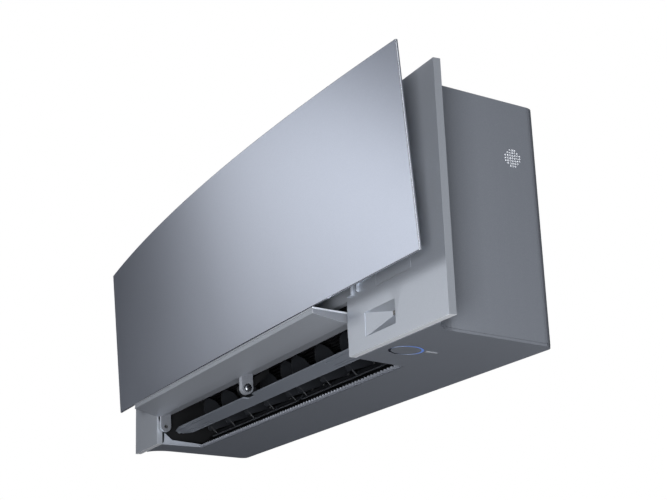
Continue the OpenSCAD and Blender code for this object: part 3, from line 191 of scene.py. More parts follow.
def effect(name, inputs, outputs):
    """An empty shader group with named sockets."""
    tree = bpy.data.node_groups.new(name, "ShaderNodeTree")
    for label, kind, value in inputs:
        socket = tree.interface.new_socket(name=label, in_out="INPUT", socket_type=KINDS[kind])
        if value is not None:
            socket.default_value = value
    for label, kind in outputs:
        tree.interface.new_socket(name=label, in_out="OUTPUT", socket_type=KINDS[kind])
    sketch = Sketch(tree)
    return tree, sketch, sketch.add("NodeGroupInput"), sketch.add("NodeGroupOutput")


def flake_lacquer():
    """Silver lacquer: fine flakes, a faint mottle and the orange peel of sprayed paint."""
    tree, s, given, out = effect(
        "flake lacquer",
        [
            ("Place", "vector", None),
            ("Colour", "colour", (0.4, 0.43, 0.5, 1)),
            ("Flake Colour", "colour", (0.7, 0.73, 0.8, 1)),
            ("Flake Scale", "number", 2600.0),
            ("Flake Share", "number", 0.2),
            ("Mottle", "number", 0.05),
            ("Roughness", "number", 0.36),
        ],
        [("Colour", "colour"), ("Roughness", "number"), ("Height", "number")],
    )
    cells = s.add("ShaderNodeTexVoronoi", feature="F1")
    s.join(given.outputs["Place"], cells.inputs["Vector"])
    s.join(given.outputs["Flake Scale"], cells.inputs["Scale"])
    apart = s.add("ShaderNodeSeparateColor")
    s.join(cells.outputs["Color"], apart.inputs[0])
    glint = s.spread(apart.outputs[0], 0.55, 1.0, 0.0, given.outputs["Flake Share"])
    cloud = s.noise(given.outputs["Place"], 5.0, 2.0)
    fine = s.noise(given.outputs["Place"], 240.0, 2.0)
    shade = s.maths("MULTIPLY", s.maths("SUBTRACT", cloud, 0.5), given.outputs["Mottle"])
    dim = s.spread(shade, -0.05, 0.0, 0.35, 0.0)
    dark = s.blend(dim, given.outputs["Colour"], (0.2, 0.21, 0.25, 1))
    s.join(s.blend(glint, dark, given.outputs["Flake Colour"]), out.inputs["Colour"])
    rough = s.maths("ADD", given.outputs["Roughness"], s.maths("MULTIPLY", glint, 0.12))
    s.join(s.vary(rough, fine, 0.05), out.inputs["Roughness"])
    relief = s.maths("ADD", s.maths("MULTIPLY", fine, 0.7), s.maths("MULTIPLY", glint, 0.3))
    s.join(relief, out.inputs["Height"])
    return tree


def moulded_grain():
    """Plain moulded plastic: a spark-eroded grain with faint flow marks."""
    tree, s, given, out = effect(
        "moulded grain",
        [
            ("Place", "vector", None),
            ("Colour", "colour", (0.03, 0.03, 0.035, 1)),
            ("Worn Colour", "colour", (0.06, 0.06, 0.065, 1)),
            ("Grain Scale", "number", 1400.0),
            ("Roughness", "number", 0.5),
        ],
        [("Colour", "colour"), ("Roughness", "number"), ("Height", "number")],
    )
    grain = s.noise(given.outputs["Place"], given.outputs["Grain Scale"], 3.0, 0.6)
    flow = s.add("ShaderNodeTexWave", wave_type="BANDS", bands_direction="X")
    s.join(given.outputs["Place"], flow.inputs["Vector"])
    flow.inputs["Scale"].default_value = 1.6
    flow.inputs["Distortion"].default_value = 5.0
    flow.inputs["Detail"].default_value = 2.0
    share = s.maths("MULTIPLY", flow.outputs["Fac"], s.maths("MULTIPLY", grain, 0.4))
    colour = s.blend(share, given.outputs["Colour"], given.outputs["Worn Colour"])
    s.join(colour, out.inputs["Colour"])
    s.join(s.vary(given.outputs["Roughness"], grain, 0.18), out.inputs["Roughness"])
    s.join(grain, out.inputs["Height"])
    return tree


def drawn_metal():
    """Rolled or drawn metal: fine streaks along X and cloudy patches of coating."""
    tree, s, given, out = effect(
        "drawn metal",
        [
            ("Place", "vector", None),
            ("Colour", "colour", (0.6, 0.6, 0.62, 1)),
            ("Dull Colour", "colour", (0.4, 0.4, 0.42, 1)),
            ("Streaks", "vector", (12.0, 900.0, 900.0)),
            ("Cloud Scale", "number", 60.0),
            ("Roughness", "number", 0.35),
        ],
        [("Colour", "colour"), ("Roughness", "number"), ("Height", "number")],
    )
    stretch = s.add("ShaderNodeVectorMath", operation="MULTIPLY")
    s.join(given.outputs["Place"], stretch.inputs[0])
    s.join(given.outputs["Streaks"], stretch.inputs[1])
    streak = s.noise(stretch.outputs[0], 1.0, 2.0)
    cloud = s.noise(given.outputs["Place"], given.outputs["Cloud Scale"], 4.0, 0.6)
    patches = s.spread(cloud, 0.35, 0.65, 0.0, 1.0)
    share = s.maths("MULTIPLY", patches, s.spread(streak, 0.3, 0.7, 0.3, 1.0))
    colour = s.blend(share, given.outputs["Colour"], given.outputs["Dull Colour"])
    s.join(colour, out.inputs["Colour"])
    s.join(s.vary(given.outputs["Roughness"], streak, 0.25), out.inputs["Roughness"])
    s.join(streak, out.inputs["Height"])
    return tree


def settled_dust():
    """Where dust settles: faces that look up, broken by a fine noise."""
    tree, s, given, out = effect(
        "settled dust",
        [
            ("Place", "vector", None),
            ("Amount", "number", 0.2),
            ("Colour", "colour", (0.5, 0.5, 0.5, 1)),
            ("Dust Colour", "colour", (0.42, 0.41, 0.39, 1)),
        ],
        [("Colour", "colour")],
    )
    facing = s.add("ShaderNodeNewGeometry")
    parts = s.add("ShaderNodeSeparateXYZ")
    s.join(facing.outputs["Normal"], parts.inputs[0])
    up = s.spread(parts.outputs[2], 0.6, 1.0, 0.0, 1.0)
    speck = s.spread(s.noise(given.outputs["Place"], 320.0, 4.0, 0.7), 0.4, 0.7, 0.2, 1.0)
    share = s.maths("MULTIPLY", s.maths("MULTIPLY", up, speck), given.outputs["Amount"])
    colour = s.blend(share, given.outputs["Colour"], given.outputs["Dust Colour"])
    s.join(colour, out.inputs["Colour"])
    return tree


LACQUER, GRAIN, DRAWN, DUST = flake_lacquer(), moulded_grain(), drawn_metal(), settled_dust()


def finish_of(name, group, values, bump, dust=0.0, **shader):
    """A material: one effect group into the shader's colour, roughness and bump."""
    material = bpy.data.materials.new(name)
    material.use_nodes = True
    tree = material.node_tree
    tree.nodes.clear()
    s = Sketch(tree)
    place = s.add("ShaderNodeTexCoord").outputs["Object"]
    look = s.add("ShaderNodeGroup", node_tree=group)
    s.join(place, look.inputs["Place"])
    for label, value in values.items():
        look.inputs[label].default_value = value
    bsdf = s.add("ShaderNodeBsdfPrincipled")
    colour = look.outputs["Colour"]
    if dust:
        settled = s.add("ShaderNodeGroup", node_tree=DUST)
        s.join(place, settled.inputs["Place"])
        s.join(colour, settled.inputs["Colour"])
        settled.inputs["Amount"].default_value = dust
        colour = settled.outputs["Colour"]
    s.join(colour, bsdf.inputs["Base Color"])
    s.join(look.outputs["Roughness"], bsdf.inputs["Roughness"])
    lift = s.add("ShaderNodeBump")
    lift.inputs["Strength"].default_value = bump[0]
    lift.inputs["Distance"].default_value = bump[1]
    s.join(look.outputs["Height"], lift.inputs["Height"])
    s.join(lift.outputs["Normal"], bsdf.inputs["Normal"])
    for label, value in shader.items():
        bsdf.inputs[label.replace("_", " ")].default_value = value
    s.join(bsdf.outputs[0], s.add("ShaderNodeOutputMaterial").inputs[0])
    return material


def lacquered(name, colour, flake, roughness, metallic, **more):
    return finish_of(
        name,
        LACQUER,
        {"Colour": (*colour, 1), "Flake Colour": (*flake, 1), "Roughness": roughness},
        (0.08, 0.00005),
        Metallic=metallic,
        **more,
    )


def plastic(name, colour, worn, roughness, **more):
    return finish_of(
        name,
        GRAIN,
        {"Colour": (*colour, 1), "Worn Colour": (*worn, 1), "Roughness": roughness},
        (0.25, 0.0001),
        **more,
    )


def metal(name, colour, dull, roughness, **more):
    return finish_of(
        name,
        DRAWN,
        {"Colour": (*colour, 1), "Dull Colour": (*dull, 1), "Roughness": roughness},
        (0.15, 0.00005),
        Metallic=1.0,
        **more,
    )


# Colour, flake colour, roughness, metallic
LACQUERS = {
    "body_silver": ((0.30, 0.325, 0.375), (0.5, 0.53, 0.6), 0.42, 0.75),
    # The front frame's and hatch lid's silver: the body's paint made lighter, as painted light.
    "lit_frame_silver": ((0.40, 0.43, 0.48), (0.6, 0.63, 0.7), 0.42, 0.75),
    # Paler silver on the rounded edges of the body shells: a painted highlight.
    "body_edge_highlight": ((0.45, 0.48, 0.53), (0.7, 0.72, 0.78), 0.3, 0.75),
    "panel_silver": ((0.40, 0.435, 0.515), (0.62, 0.665, 0.76), 0.3, 0.85),
    # Paler silver on the panel's rounded edges: a painted highlight.
    "panel_edge_highlight": ((0.55, 0.58, 0.64), (0.8, 0.82, 0.88), 0.25, 0.85),
    "flap_silver": ((0.36, 0.385, 0.43), (0.55, 0.58, 0.65), 0.42, 0.6),
    "flap_bright": ((0.55, 0.58, 0.63), (0.75, 0.78, 0.83), 0.3, 0.7),
    # Dark silver for the flap arms' cheeks: painted shade inside the mouth.
    "flap_side_shade": ((0.13, 0.14, 0.16), (0.22, 0.23, 0.26), 0.5, 0.5),
    # Near-white silver along the front frame's lower edge: a painted highlight.
    "frame_rim_highlight": ((0.85, 0.88, 0.93), (0.95, 0.97, 1.0), 0.4, 0.5),
    # The outlet comb's silver made dark: painted shade at the back of the outlet.
    "comb_silver_shaded": ((0.2, 0.215, 0.25), (0.32, 0.34, 0.39), 0.4, 0.6),
}
# Colour, worn colour, roughness
PLASTICS = {
    # Pale rims round the side's small holes: painted highlights on the holes' edges.
    "rim_highlight_pale": ((0.8, 0.83, 0.88), (0.7, 0.73, 0.78), 0.35),
    # The inner, louver and vane blacks: dark plastic made darker still, as painted shade inside
    # the air outlet.
    "inner_black_and_shade": ((0.003, 0.0033, 0.004), (0.006, 0.0065, 0.0075), 0.5),
    "louver_black_and_shade": ((0.11, 0.122, 0.145), (0.135, 0.147, 0.17), 0.36),
    "vane_black_and_shade": ((0.006, 0.007, 0.009), (0.012, 0.013, 0.016), 0.42),
    "pale_plastic": ((0.62, 0.63, 0.62), (0.55, 0.56, 0.55), 0.45),
    "motor_grey": ((0.32, 0.33, 0.34), (0.26, 0.27, 0.28), 0.4),
    "net_dark": ((0.05, 0.055, 0.06), (0.08, 0.085, 0.09), 0.5),
    "cassette_green": ((0.10, 0.19, 0.16), (0.14, 0.24, 0.2), 0.55),
    "board_green": ((0.02, 0.13, 0.06), (0.03, 0.18, 0.08), 0.35),
    "smoked_window": ((0.004, 0.004, 0.006), (0.008, 0.008, 0.01), 0.08),
}
# Colour, dull colour, roughness
METALS = {
    "zinc_sheet": ((0.60, 0.61, 0.62), (0.42, 0.43, 0.45), 0.38),
    "steel_pin": ((0.55, 0.56, 0.57), (0.38, 0.39, 0.4), 0.28),
    "screw_dark": ((0.16, 0.17, 0.19), (0.1, 0.105, 0.115), 0.32),
    "fin_foil": ((0.62, 0.65, 0.68), (0.45, 0.48, 0.5), 0.34),
    "copper_tube": ((0.75, 0.38, 0.22), (0.45, 0.2, 0.11), 0.3),
    "brass_nut": ((0.78, 0.56, 0.24), (0.5, 0.34, 0.14), 0.28),
}
# What a few of them have besides
EXTRAS = {
    "panel_silver": {"Coat_Weight": 0.15, "Coat_Roughness": 0.25},
    "inner_black_and_shade": {"Specular_IOR_Level": 0.2},
    "vane_black_and_shade": {"Specular_IOR_Level": 0.3},
    "net_dark": {"dust": 0.2},
    "board_green": {"Coat_Weight": 0.4},
    "fin_foil": {"dust": 0.15},
}
M = {}
for make, specs in ((lacquered, LACQUERS), (plastic, PLASTICS), (metal, METALS)):
    for name, spec in specs.items():
        M[name] = make(name, *spec, **EXTRAS.get(name, {}))


def ring_light():
    """The light guide: it glows blue toward the right, and its fade to dark at the left is painted
    shade of the groove it sits in.
    """
    material = finish_of(
        "ring_light",
        GRAIN,
        {
            "Colour": (0.01, 0.012, 0.02, 1),
            "Worn Colour": (0.02, 0.025, 0.04, 1),
            "Roughness": 0.25,
        },
        (0.1, 0.00005),
    )
    s = Sketch(material.node_tree)
    by_kind = {n.type: n for n in material.node_tree.nodes}
    bsdf = by_kind["BSDF_PRINCIPLED"]
    place = by_kind["TEX_COORD"].outputs["Object"]
    centre = under(RING_X, RING_V)
    mapping = s.add("ShaderNodeMapping")
    mapping.inputs["Location"].default_value = tuple(-c for c in centre)
    s.join(place, mapping.inputs["Vector"])
    parts = s.add("ShaderNodeSeparateXYZ")
    s.join(mapping.outputs[0], parts.inputs[0])
    across = s.maths("MULTIPLY", parts.outputs[0], 1 / (RING_R * MM))
    back = s.maths("MULTIPLY", parts.outputs[1], 1 / (RING_R * MM))
    side = s.maths("ADD", s.maths("MULTIPLY", across, 0.75), s.maths("MULTIPLY", back, 0.65))
    ramp = s.add("ShaderNodeValToRGB")
    s.join(s.spread(side, -1.0, 1.0, 0.0, 1.0), ramp.inputs[0])
    # The ramp's dark end is painted shade of the groove; its blue end is the guide's own glow.
    stops = ramp.color_ramp.elements
    stops[0].position, stops[0].color = 0.12, (0.0, 0.0, 0.0, 1)
    stops[1].position, stops[1].color = 1.0, (0.1, 0.19, 0.52, 1)
    for position, colour in ((0.4, (0.2, 0.25, 0.36, 1)), (0.75, (0.1, 0.18, 0.48, 1))):
        stops.new(position).color = colour
    s.join(ramp.outputs[0], bsdf.inputs["Emission Color"])
    bsdf.inputs["Emission Strength"].default_value = 0.9
    return material


M["ring_light"] = ring_light()


# ---------------------------------------------------------------- pieces
def settle(obj, body, slot, *nodes):
    """A finished piece takes its body and the CAD nodes that it stands for. Its slot is not used.
    """
    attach(obj, body)
    if nodes:
        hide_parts(*nodes)
    return obj


def linked(name, data):
    """An object in the scene with the given data."""
    obj = bpy.data.objects.new(name, data)
    bpy.context.collection.objects.link(obj)
    return obj


def smoothed(obj, angle):
    """Smooth shading, with sharp edges past an angle in degrees."""
    obj.data.shade_smooth()
    obj.data.set_sharp_from_angle(angle=math.radians(angle))
    return obj


def plain_mesh(obj, name):
    """The evaluated shape of obj as a plain mesh object, in place of obj."""
    graph = bpy.context.evaluated_depsgraph_get()
    graph.update()
    mesh = bpy.data.meshes.new_from_object(obj.evaluated_get(graph))
    mesh.name = name
    bpy.data.objects.remove(obj)
    return linked(name, mesh)


def mesh_piece(name, points, faces, materials):
    """A mesh object from points in metres in the shared frame."""
    mesh = bpy.data.meshes.new(name)
    mesh.from_pydata([tuple(p) for p in points], [], faces)
    mesh.validate()
    for m in materials:
        mesh.materials.append(m)
    return linked(name, mesh)


def rounded(obj, width, segments):
    """obj with rounded edges in its second material, shaded smooth, as a plain mesh."""
    smoothed(obj, EDGE_ANGLE)
    bevel = obj.modifiers.new("round", "BEVEL")
    bevel.width = width * MM
    bevel.segments = segments
    bevel.limit_method = "ANGLE"
    bevel.angle_limit = math.radians(EDGE_ANGLE)
    bevel.use_clamp_overlap = True
    bevel.harden_normals = True
    bevel.miter_outer = "MITER_ARC"
    bevel.material = 1
    even = obj.modifiers.new("even", "WEIGHTED_NORMAL")
    even.weight = 100
    even.keep_sharp = True
    return plain_mesh(obj, obj.name)


def softened(name, node, main, edge, width, segments=2):
    """A CAD node's shape with its loose triangles joined and its edges rounded."""
    form = bmesh.new()
    form.from_mesh(frame["nodes"][node].data)
    bmesh.ops.remove_doubles(form, verts=form.verts, dist=2e-6)
    bmesh.ops.dissolve_limit(
        form, angle_limit=math.radians(0.03), verts=form.verts, edges=form.edges
    )
    mesh = bpy.data.meshes.new(name)
    form.to_mesh(mesh)
    form.free()
    mesh.materials.clear()
    mesh.materials.append(M[main])
    mesh.materials.append(M[edge])
    for face in mesh.polygons:
        face.material_index = 0
    return rounded(linked(name, mesh), width, segments)


def repaint(name, finish, wanted):
    """Faces of a piece that wanted() picks, by their middle and normal, take another finish."""
    mesh = bpy.data.objects[name].data
    mesh.materials.append(M[finish])
    for face in mesh.polygons:
        if wanted(face.center, face.normal):
            face.material_index = len(mesh.materials) - 1


def dress(node, material):
    """A CAD node that stays gets its finish in every material slot."""
    obj = frame["nodes"][node]
    for holder in obj.material_slots:
        holder.material = M[material]


def panel_face(x, z):
    """How far out the panel's face lies: it leans and bows more toward its top."""
    share = (z - PANEL_LOW) / (PANEL_TOP - PANEL_LOW)
    rise = PANEL_RISE[0] + (PANEL_RISE[1] - PANEL_RISE[0]) * share
    out = PANEL_OUT[0] + (PANEL_OUT[1] - PANEL_OUT[0]) * share
    return -FRONT_D - out - rise * (1 - (x / (PANEL_W / 2)) ** 2)


def bowed_panel():
    """The front panel: a sheet bowed more at the top than below, with rounded edges."""
    nx, nz = 96, 30
    xs = [PANEL_W * (i / nx - 0.5) for i in range(nx + 1)]
    zs = [PANEL_LOW + (PANEL_TOP - PANEL_LOW) * j / nz for j in range(nz + 1)]
    front = [row(x, panel_face(x, z), z) for z in zs for x in xs]
    back = [row(x, panel_face(x, z) + PANEL_T, z) for z in zs for x in xs]
    n, w = len(front), nx + 1
    faces = []
    for j in range(nz):
        for i in range(nx):
            a = j * w + i
            faces.append((a, a + 1, a + w + 1, a + w))
            faces.append((n + a, n + a + w, n + a + w + 1, n + a + 1))
    rim = (
        [j for j in range(nx)]
        + [j * w + nx for j in range(nz)]
        + [nz * w + i for i in range(nx, 0, -1)]
        + [j * w for j in range(nz, 0, -1)]
    )
    for k, a in enumerate(rim):
        b = rim[(k + 1) % len(rim)]
        faces.append((a, a + n, b + n, b))
    finishes = [M["panel_silver"], M["panel_edge_highlight"]]
    obj = mesh_piece("front_panel_shell", front + back, faces, finishes)
    return rounded(obj, 0.9, 3)


settle(bowed_panel(), "panel", "panel_silver", "front_panel")

for name, node, main, edge, width, body, slot in (
    ("front_frame_shell", "front_frame", "lit_frame_silver", "body_edge_highlight", 0.45, "casing", "silver"),
    ("side_shell_left", "side_cover_left", "body_silver", "body_edge_highlight", 0.5, "casing", "silver"),
    ("bottom_shell", "bottom_cover", "body_silver", "body_edge_highlight", 0.35, "casing", "silver"),
    ("hatch_lid", "service_hatch", "lit_frame_silver", "body_edge_highlight", 0.25, "casing", "silver"),
    ("flap_skin_sheet", "flap_skin", "flap_bright", "flap_bright", 0.5, "flap", "bright"),
    ("flap_belly", "flap_body", "flap_silver", "flap_silver", 0.9, "flap", "silver"),
    ("louver_blade", "louver", "louver_black_and_shade", "louver_black_and_shade", 0.5, "louver", "black_plastic"),
    ("button_cap", "on_off_button", "flap_bright", "flap_bright", 0.35, "button", "bright"),
):
    settle(softened(name, node, main, edge, width), body, slot, node)

# The arms' cheeks are in the shade of the mouth, and the frame's foot catches the light
frame_foot = min(v.co.z for v in bpy.data.objects["front_frame_shell"].data.vertices)
foot_band = 1.5 * MM
repaint("flap_belly", "flap_side_shade", lambda middle, normal: abs(normal.x) > 0.9)
repaint(
    "front_frame_shell",
    "frame_rim_highlight",
    lambda middle, normal: normal.z < -0.3 and middle.z < frame_foot + foot_band,
)

for n in range(9):
    settle(
        softened(f"vane_blade_{n + 1}", f"vane_0{n + 1}", "vane_black_and_shade", "vane_black_and_shade", 0.35),
        f"vane_{n + 1}",
        "black_plastic",
        f"vane_0{n + 1}",
    )


# ---------------------------------------------------------------- geometry-nodes pieces
GEO_KINDS = {
    "length": "NodeSocketFloat",
    "count": "NodeSocketInt",
    "place": "NodeSocketVector",
    "material": "NodeSocketMaterial",
}


class Plan(Sketch):
    """A geometry node tree with named inputs, which ends in Realize Instances and Set Material."""

    def __init__(self, name, inputs):
        tree = bpy.data.node_groups.new(name, "GeometryNodeTree")
        super().__init__(tree)
        ports = tree.interface
        ports.new_socket(name="Geometry", in_out="OUTPUT", socket_type="NodeSocketGeometry")
        self.ids = {}
        for label, kind in inputs:
            port = ports.new_socket(name=label, in_out="INPUT", socket_type=GEO_KINDS[kind])
            self.ids[label] = port.identifier
        self.given = self.add("NodeGroupInput")
        self.out = self.add("NodeGroupOutput")

    def want(self, label):
        return self.given.outputs[label]

    def vector(self, x=0.0, y=0.0, z=0.0):
        node = self.add("ShaderNodeCombineXYZ")
        for socket, value in zip(node.inputs, (x, y, z)):
            self.feed(socket, value)
        return node.outputs[0]

    def product(self, label, factor):
        """A named input times a number."""
        return self.maths("MULTIPLY", self.want(label), factor)

    def repeated(self, piece, count, step, start=None):
        """A piece put at count points in a line."""
        line = self.add("GeometryNodeMeshLine", mode="OFFSET")
        self.join(count, line.inputs["Count"])
        self.join(step, line.inputs["Offset"])
        if start is not None:
            self.join(start, line.inputs["Start Location"])
        return self.put_at(line.outputs[0], piece).outputs[0]

    def put_at(self, points, piece):
        put = self.add("GeometryNodeInstanceOnPoints")
        self.join(points, put.inputs["Points"])
        self.join(piece, put.inputs["Instance"])
        return put

    def together(self, *parts):
        both = self.add("GeometryNodeJoinGeometry")
        for part in parts:
            self.join(part, both.inputs[0])
        return both.outputs[0]

    def solid_outline(self, curve, height):
        """A closed curve filled and drawn up along +Z, closed below."""
        fill = self.add("GeometryNodeFillCurve")
        self.join(curve, fill.inputs["Curve"])
        draw = self.add("GeometryNodeExtrudeMesh", mode="FACES")
        self.join(fill.outputs[0], draw.inputs["Mesh"])
        self.join(self.vector(0, 0, 1.0), draw.inputs["Offset"])
        self.join(height, draw.inputs["Offset Scale"])
        draw.inputs["Individual"].default_value = False
        turn = self.add("GeometryNodeFlipFaces")
        self.join(fill.outputs[0], turn.inputs[0])
        weld = self.add("GeometryNodeMergeByDistance")
        self.join(self.together(turn.outputs[0], draw.outputs[0]), weld.inputs["Geometry"])
        weld.inputs["Distance"].default_value = 1e-6
        return weld.outputs[0]

    def close(self, geometry):
        """Instances made real, in the finish that the tree is given."""
        real = self.add("GeometryNodeRealizeInstances")
        self.join(geometry, real.inputs[0])
        paint = self.add("GeometryNodeSetMaterial")
        self.join(real.outputs[0], paint.inputs["Geometry"])
        self.join(self.want("Finish"), paint.inputs["Material"])
        self.join(paint.outputs[0], self.out.inputs[0])


def grown(name, plan, values, transform):
    """A geometry-nodes tree run with its named values, as a plain mesh in the shared frame."""
    obj = linked(name, bpy.data.meshes.new(name))
    modifier = obj.modifiers.new("grown", "NODES")
    modifier.node_group = plan.tree
    for label, value in values.items():
        modifier[plan.ids[label]] = value
    made = plain_mesh(obj, name)
    made.data.transform(transform)
    return smoothed(made, NODES_ANGLE)


def comb_plan():
    """A row of teeth with rounded tips on one bar."""
    p = Plan(
        "outlet comb",
        [
            ("Teeth", "count"),
            ("Pitch", "length"),
            ("Tooth Width", "length"),
            ("Tooth Length", "length"),
            ("Bar Length", "length"),
            ("Bar Width", "length"),
            ("Height", "length"),
            ("Tip Radius", "length"),
            ("Finish", "material"),
        ],
    )
    tooth = p.add("GeometryNodeCurvePrimitiveQuadrilateral")
    p.join(p.want("Tooth Width"), tooth.inputs["Width"])
    p.join(p.want("Tooth Length"), tooth.inputs["Height"])
    tip = p.add("GeometryNodeFilletCurve", mode="POLY")
    p.join(tooth.outputs[0], tip.inputs["Curve"])
    p.join(p.want("Tip Radius"), tip.inputs["Radius"])
    tip.inputs["Count"].default_value = 3
    solid = p.solid_outline(tip.outputs[0], p.want("Height"))
    teeth = p.repeated(solid, p.want("Teeth"), p.vector(p.want("Pitch")))
    bar = p.add("GeometryNodeMeshCube")
    size = p.vector(p.want("Bar Length"), p.want("Bar Width"), p.want("Height"))
    p.join(size, bar.inputs["Size"])
    shift = p.add("GeometryNodeTransform")
    p.join(bar.outputs[0], shift.inputs["Geometry"])
    along = p.maths("SUBTRACT", p.product("Bar Length", 0.5), p.product("Tooth Width", 0.5))
    back = p.maths("ADD", p.product("Tooth Length", 0.5), p.product("Bar Width", -0.5))
    p.join(p.vector(along, back, p.product("Height", 0.5)), shift.inputs["Translation"])
    p.close(p.together(teeth, shift.outputs[0]))
    return p


def outlet_comb():
    """The comb at the back edge of the air outlet, in the slope of the bottom."""
    x0 = -OUTLET_L + OUTLET_TAPER + SEAT
    x1 = OUTLET_R - OUTLET_TAPER - SEAT
    y1 = OUTLET_DEPTH + COMB_D - SEAT
    count = math.ceil((x1 - TOOTH_T - x0) / COMB_PITCH)
    length = y1 - OUTLET_DEPTH
    place = under(x0 + TOOTH_T / 2, OUTLET_DEPTH + length / 2)
    made = grown(
        "outlet_comb_teeth",
        comb_plan(),
        {
            "Teeth": count + 1,
            "Pitch": (x1 - TOOTH_T - x0) / count * MM,
            "Tooth Width": TOOTH_T * MM,
            "Tooth Length": length * MM,
            "Bar Length": (x1 - x0) * MM,
            "Bar Width": COMB_BAR * MM,
            "Height": WALL_T * MM,
            "Tip Radius": TIP_R * MM,
            "Finish": M["comb_silver_shaded"],
        },
        Matrix.Translation(place) @ Matrix.Rotation(-SLOPE, 4, "X"),
    )
    return settle(made, "casing", "bright", "outlet_comb")


def fin_plan():
    """Thin fins in a row along X, drawn over a slab of the heat exchanger."""
    p = Plan(
        "coil fins",
        [
            ("Fins", "count"),
            ("Pitch", "length"),
            ("Fin Thickness", "length"),
            ("Slab Thickness", "length"),
            ("Slab Height", "length"),
            ("Finish", "material"),
        ],
    )
    fin = p.add("GeometryNodeMeshCube")
    size = p.vector(p.want("Fin Thickness"), p.want("Slab Thickness"), p.want("Slab Height"))
    p.join(size, fin.inputs["Size"])
    p.close(p.repeated(fin.outputs[0], p.want("Fins"), p.vector(p.want("Pitch"))))
    return p


def fan_plan():
    """Curved blades round a ring, parted into sections by discs."""
    p = Plan(
        "cross-flow fan",
        [
            ("Blades", "count"),
            ("Radius", "length"),
            ("Blade Depth", "length"),
            ("Blade Thickness", "length"),
            ("Length", "length"),
            ("Sections", "count"),
            ("Disc Thickness", "length"),
            ("Finish", "material"),
        ],
    )
    arc = p.add("GeometryNodeCurveArc", mode="RADIUS")
    arc.inputs["Resolution"].default_value = 6
    p.join(p.want("Blade Depth"), arc.inputs["Radius"])
    arc.inputs["Start Angle"].default_value = math.radians(20)
    arc.inputs["Sweep Angle"].default_value = math.radians(62)
    wide = p.add("GeometryNodeCurvePrimitiveQuadrilateral")
    p.join(p.want("Blade Thickness"), wide.inputs["Width"])
    p.join(p.want("Length"), wide.inputs["Height"])
    sweep = p.add("GeometryNodeCurveToMesh")
    p.join(arc.outputs[0], sweep.inputs["Curve"])
    p.join(wide.outputs[0], sweep.inputs["Profile Curve"])
    sweep.inputs["Fill Caps"].default_value = True
    ring = p.add("GeometryNodeMeshCircle", fill_type="NONE")
    p.join(p.want("Blades"), ring.inputs["Vertices"])
    p.join(p.maths("SUBTRACT", p.want("Radius"), p.want("Blade Depth")), ring.inputs["Radius"])
    aim = p.add("FunctionNodeAlignRotationToVector", axis="X")
    p.join(p.add("GeometryNodeInputPosition").outputs[0], aim.inputs["Vector"])
    put = p.put_at(ring.outputs[0], sweep.outputs[0])
    p.join(aim.outputs[0], put.inputs["Rotation"])
    disc = p.add("GeometryNodeMeshCylinder")
    disc.inputs["Vertices"].default_value = 48
    edge = p.maths("SUBTRACT", p.want("Radius"), p.product("Blade Depth", 0.3))
    p.join(edge, disc.inputs["Radius"])
    p.join(p.want("Disc Thickness"), disc.inputs["Depth"])
    discs = p.add("GeometryNodeMeshLine", mode="END_POINTS")
    p.join(p.maths("ADD", p.want("Sections"), 1.0), discs.inputs["Count"])
    p.join(p.vector(0, 0, p.product("Length", -0.5)), discs.inputs["Start Location"])
    p.join(p.vector(0, 0, p.product("Length", 0.5)), discs.inputs["Offset"])
    put_discs = p.put_at(discs.outputs[0], disc.outputs[0])
    p.close(p.together(put.outputs[0], put_discs.outputs[0]))
    return p


def net_plan():
    """Crossing strands on one sheet."""
    p = Plan(
        "filter net",
        [
            ("Width", "length"),
            ("Height", "length"),
            ("Pitch", "length"),
            ("Strand", "length"),
            ("Finish", "material"),
        ],
    )
    sheets = []
    for along, across, upright in (("Width", "Height", False), ("Height", "Width", True)):
        strand = p.add("GeometryNodeMeshCube")
        long, thin = p.want(along), p.want("Strand")
        size = (thin, thin, long) if upright else (long, thin, thin)
        p.join(p.vector(*size), strand.inputs["Size"])
        count = p.maths("FLOOR", p.maths("DIVIDE", p.want(across), p.want("Pitch")), 0.0)
        step = p.maths("DIVIDE", p.want(across), count)
        start = p.maths("ADD", p.product(across, -0.5), p.maths("MULTIPLY", step, 0.5))
        step, start = (
            p.vector(x=value) if upright else p.vector(z=value) for value in (step, start)
        )
        sheets.append(p.repeated(strand.outputs[0], count, step, start))
    p.close(p.together(*sheets))
    return p


def field_plan():
    """Small rings on a square grid, kept within a round field."""
    p = Plan(
        "field of rims",
        [
            ("Across", "count"),
            ("Pitch", "length"),
            ("Field Radius", "length"),
            ("Rim Radius", "length"),
            ("Wire Radius", "length"),
            ("Finish", "material"),
        ],
    )
    grid = p.add("GeometryNodeMeshGrid")
    span = p.maths("MULTIPLY", p.want("Pitch"), p.maths("SUBTRACT", p.want("Across"), 1.0))
    for side in ("X", "Y"):
        p.join(span, grid.inputs[f"Size {side}"])
        p.join(p.want("Across"), grid.inputs[f"Vertices {side}"])
    far = p.add("ShaderNodeVectorMath", operation="LENGTH")
    p.join(p.add("GeometryNodeInputPosition").outputs[0], far.inputs[0])
    rim = p.add("GeometryNodeCurvePrimitiveCircle")
    rim.inputs["Resolution"].default_value = 12
    p.join(p.want("Rim Radius"), rim.inputs["Radius"])
    wire = p.add("GeometryNodeCurvePrimitiveCircle")
    wire.inputs["Resolution"].default_value = 6
    p.join(p.want("Wire Radius"), wire.inputs["Radius"])
    tube = p.add("GeometryNodeCurveToMesh")
    p.join(rim.outputs[0], tube.inputs["Curve"])
    p.join(wire.outputs[0], tube.inputs["Profile Curve"])
    put = p.put_at(grid.outputs[0], tube.outputs[0])
    inside = p.maths("LESS_THAN", far.outputs["Value"], p.want("Field Radius"))
    p.join(inside, put.inputs["Selection"])
    p.close(put.outputs[0])
    return p


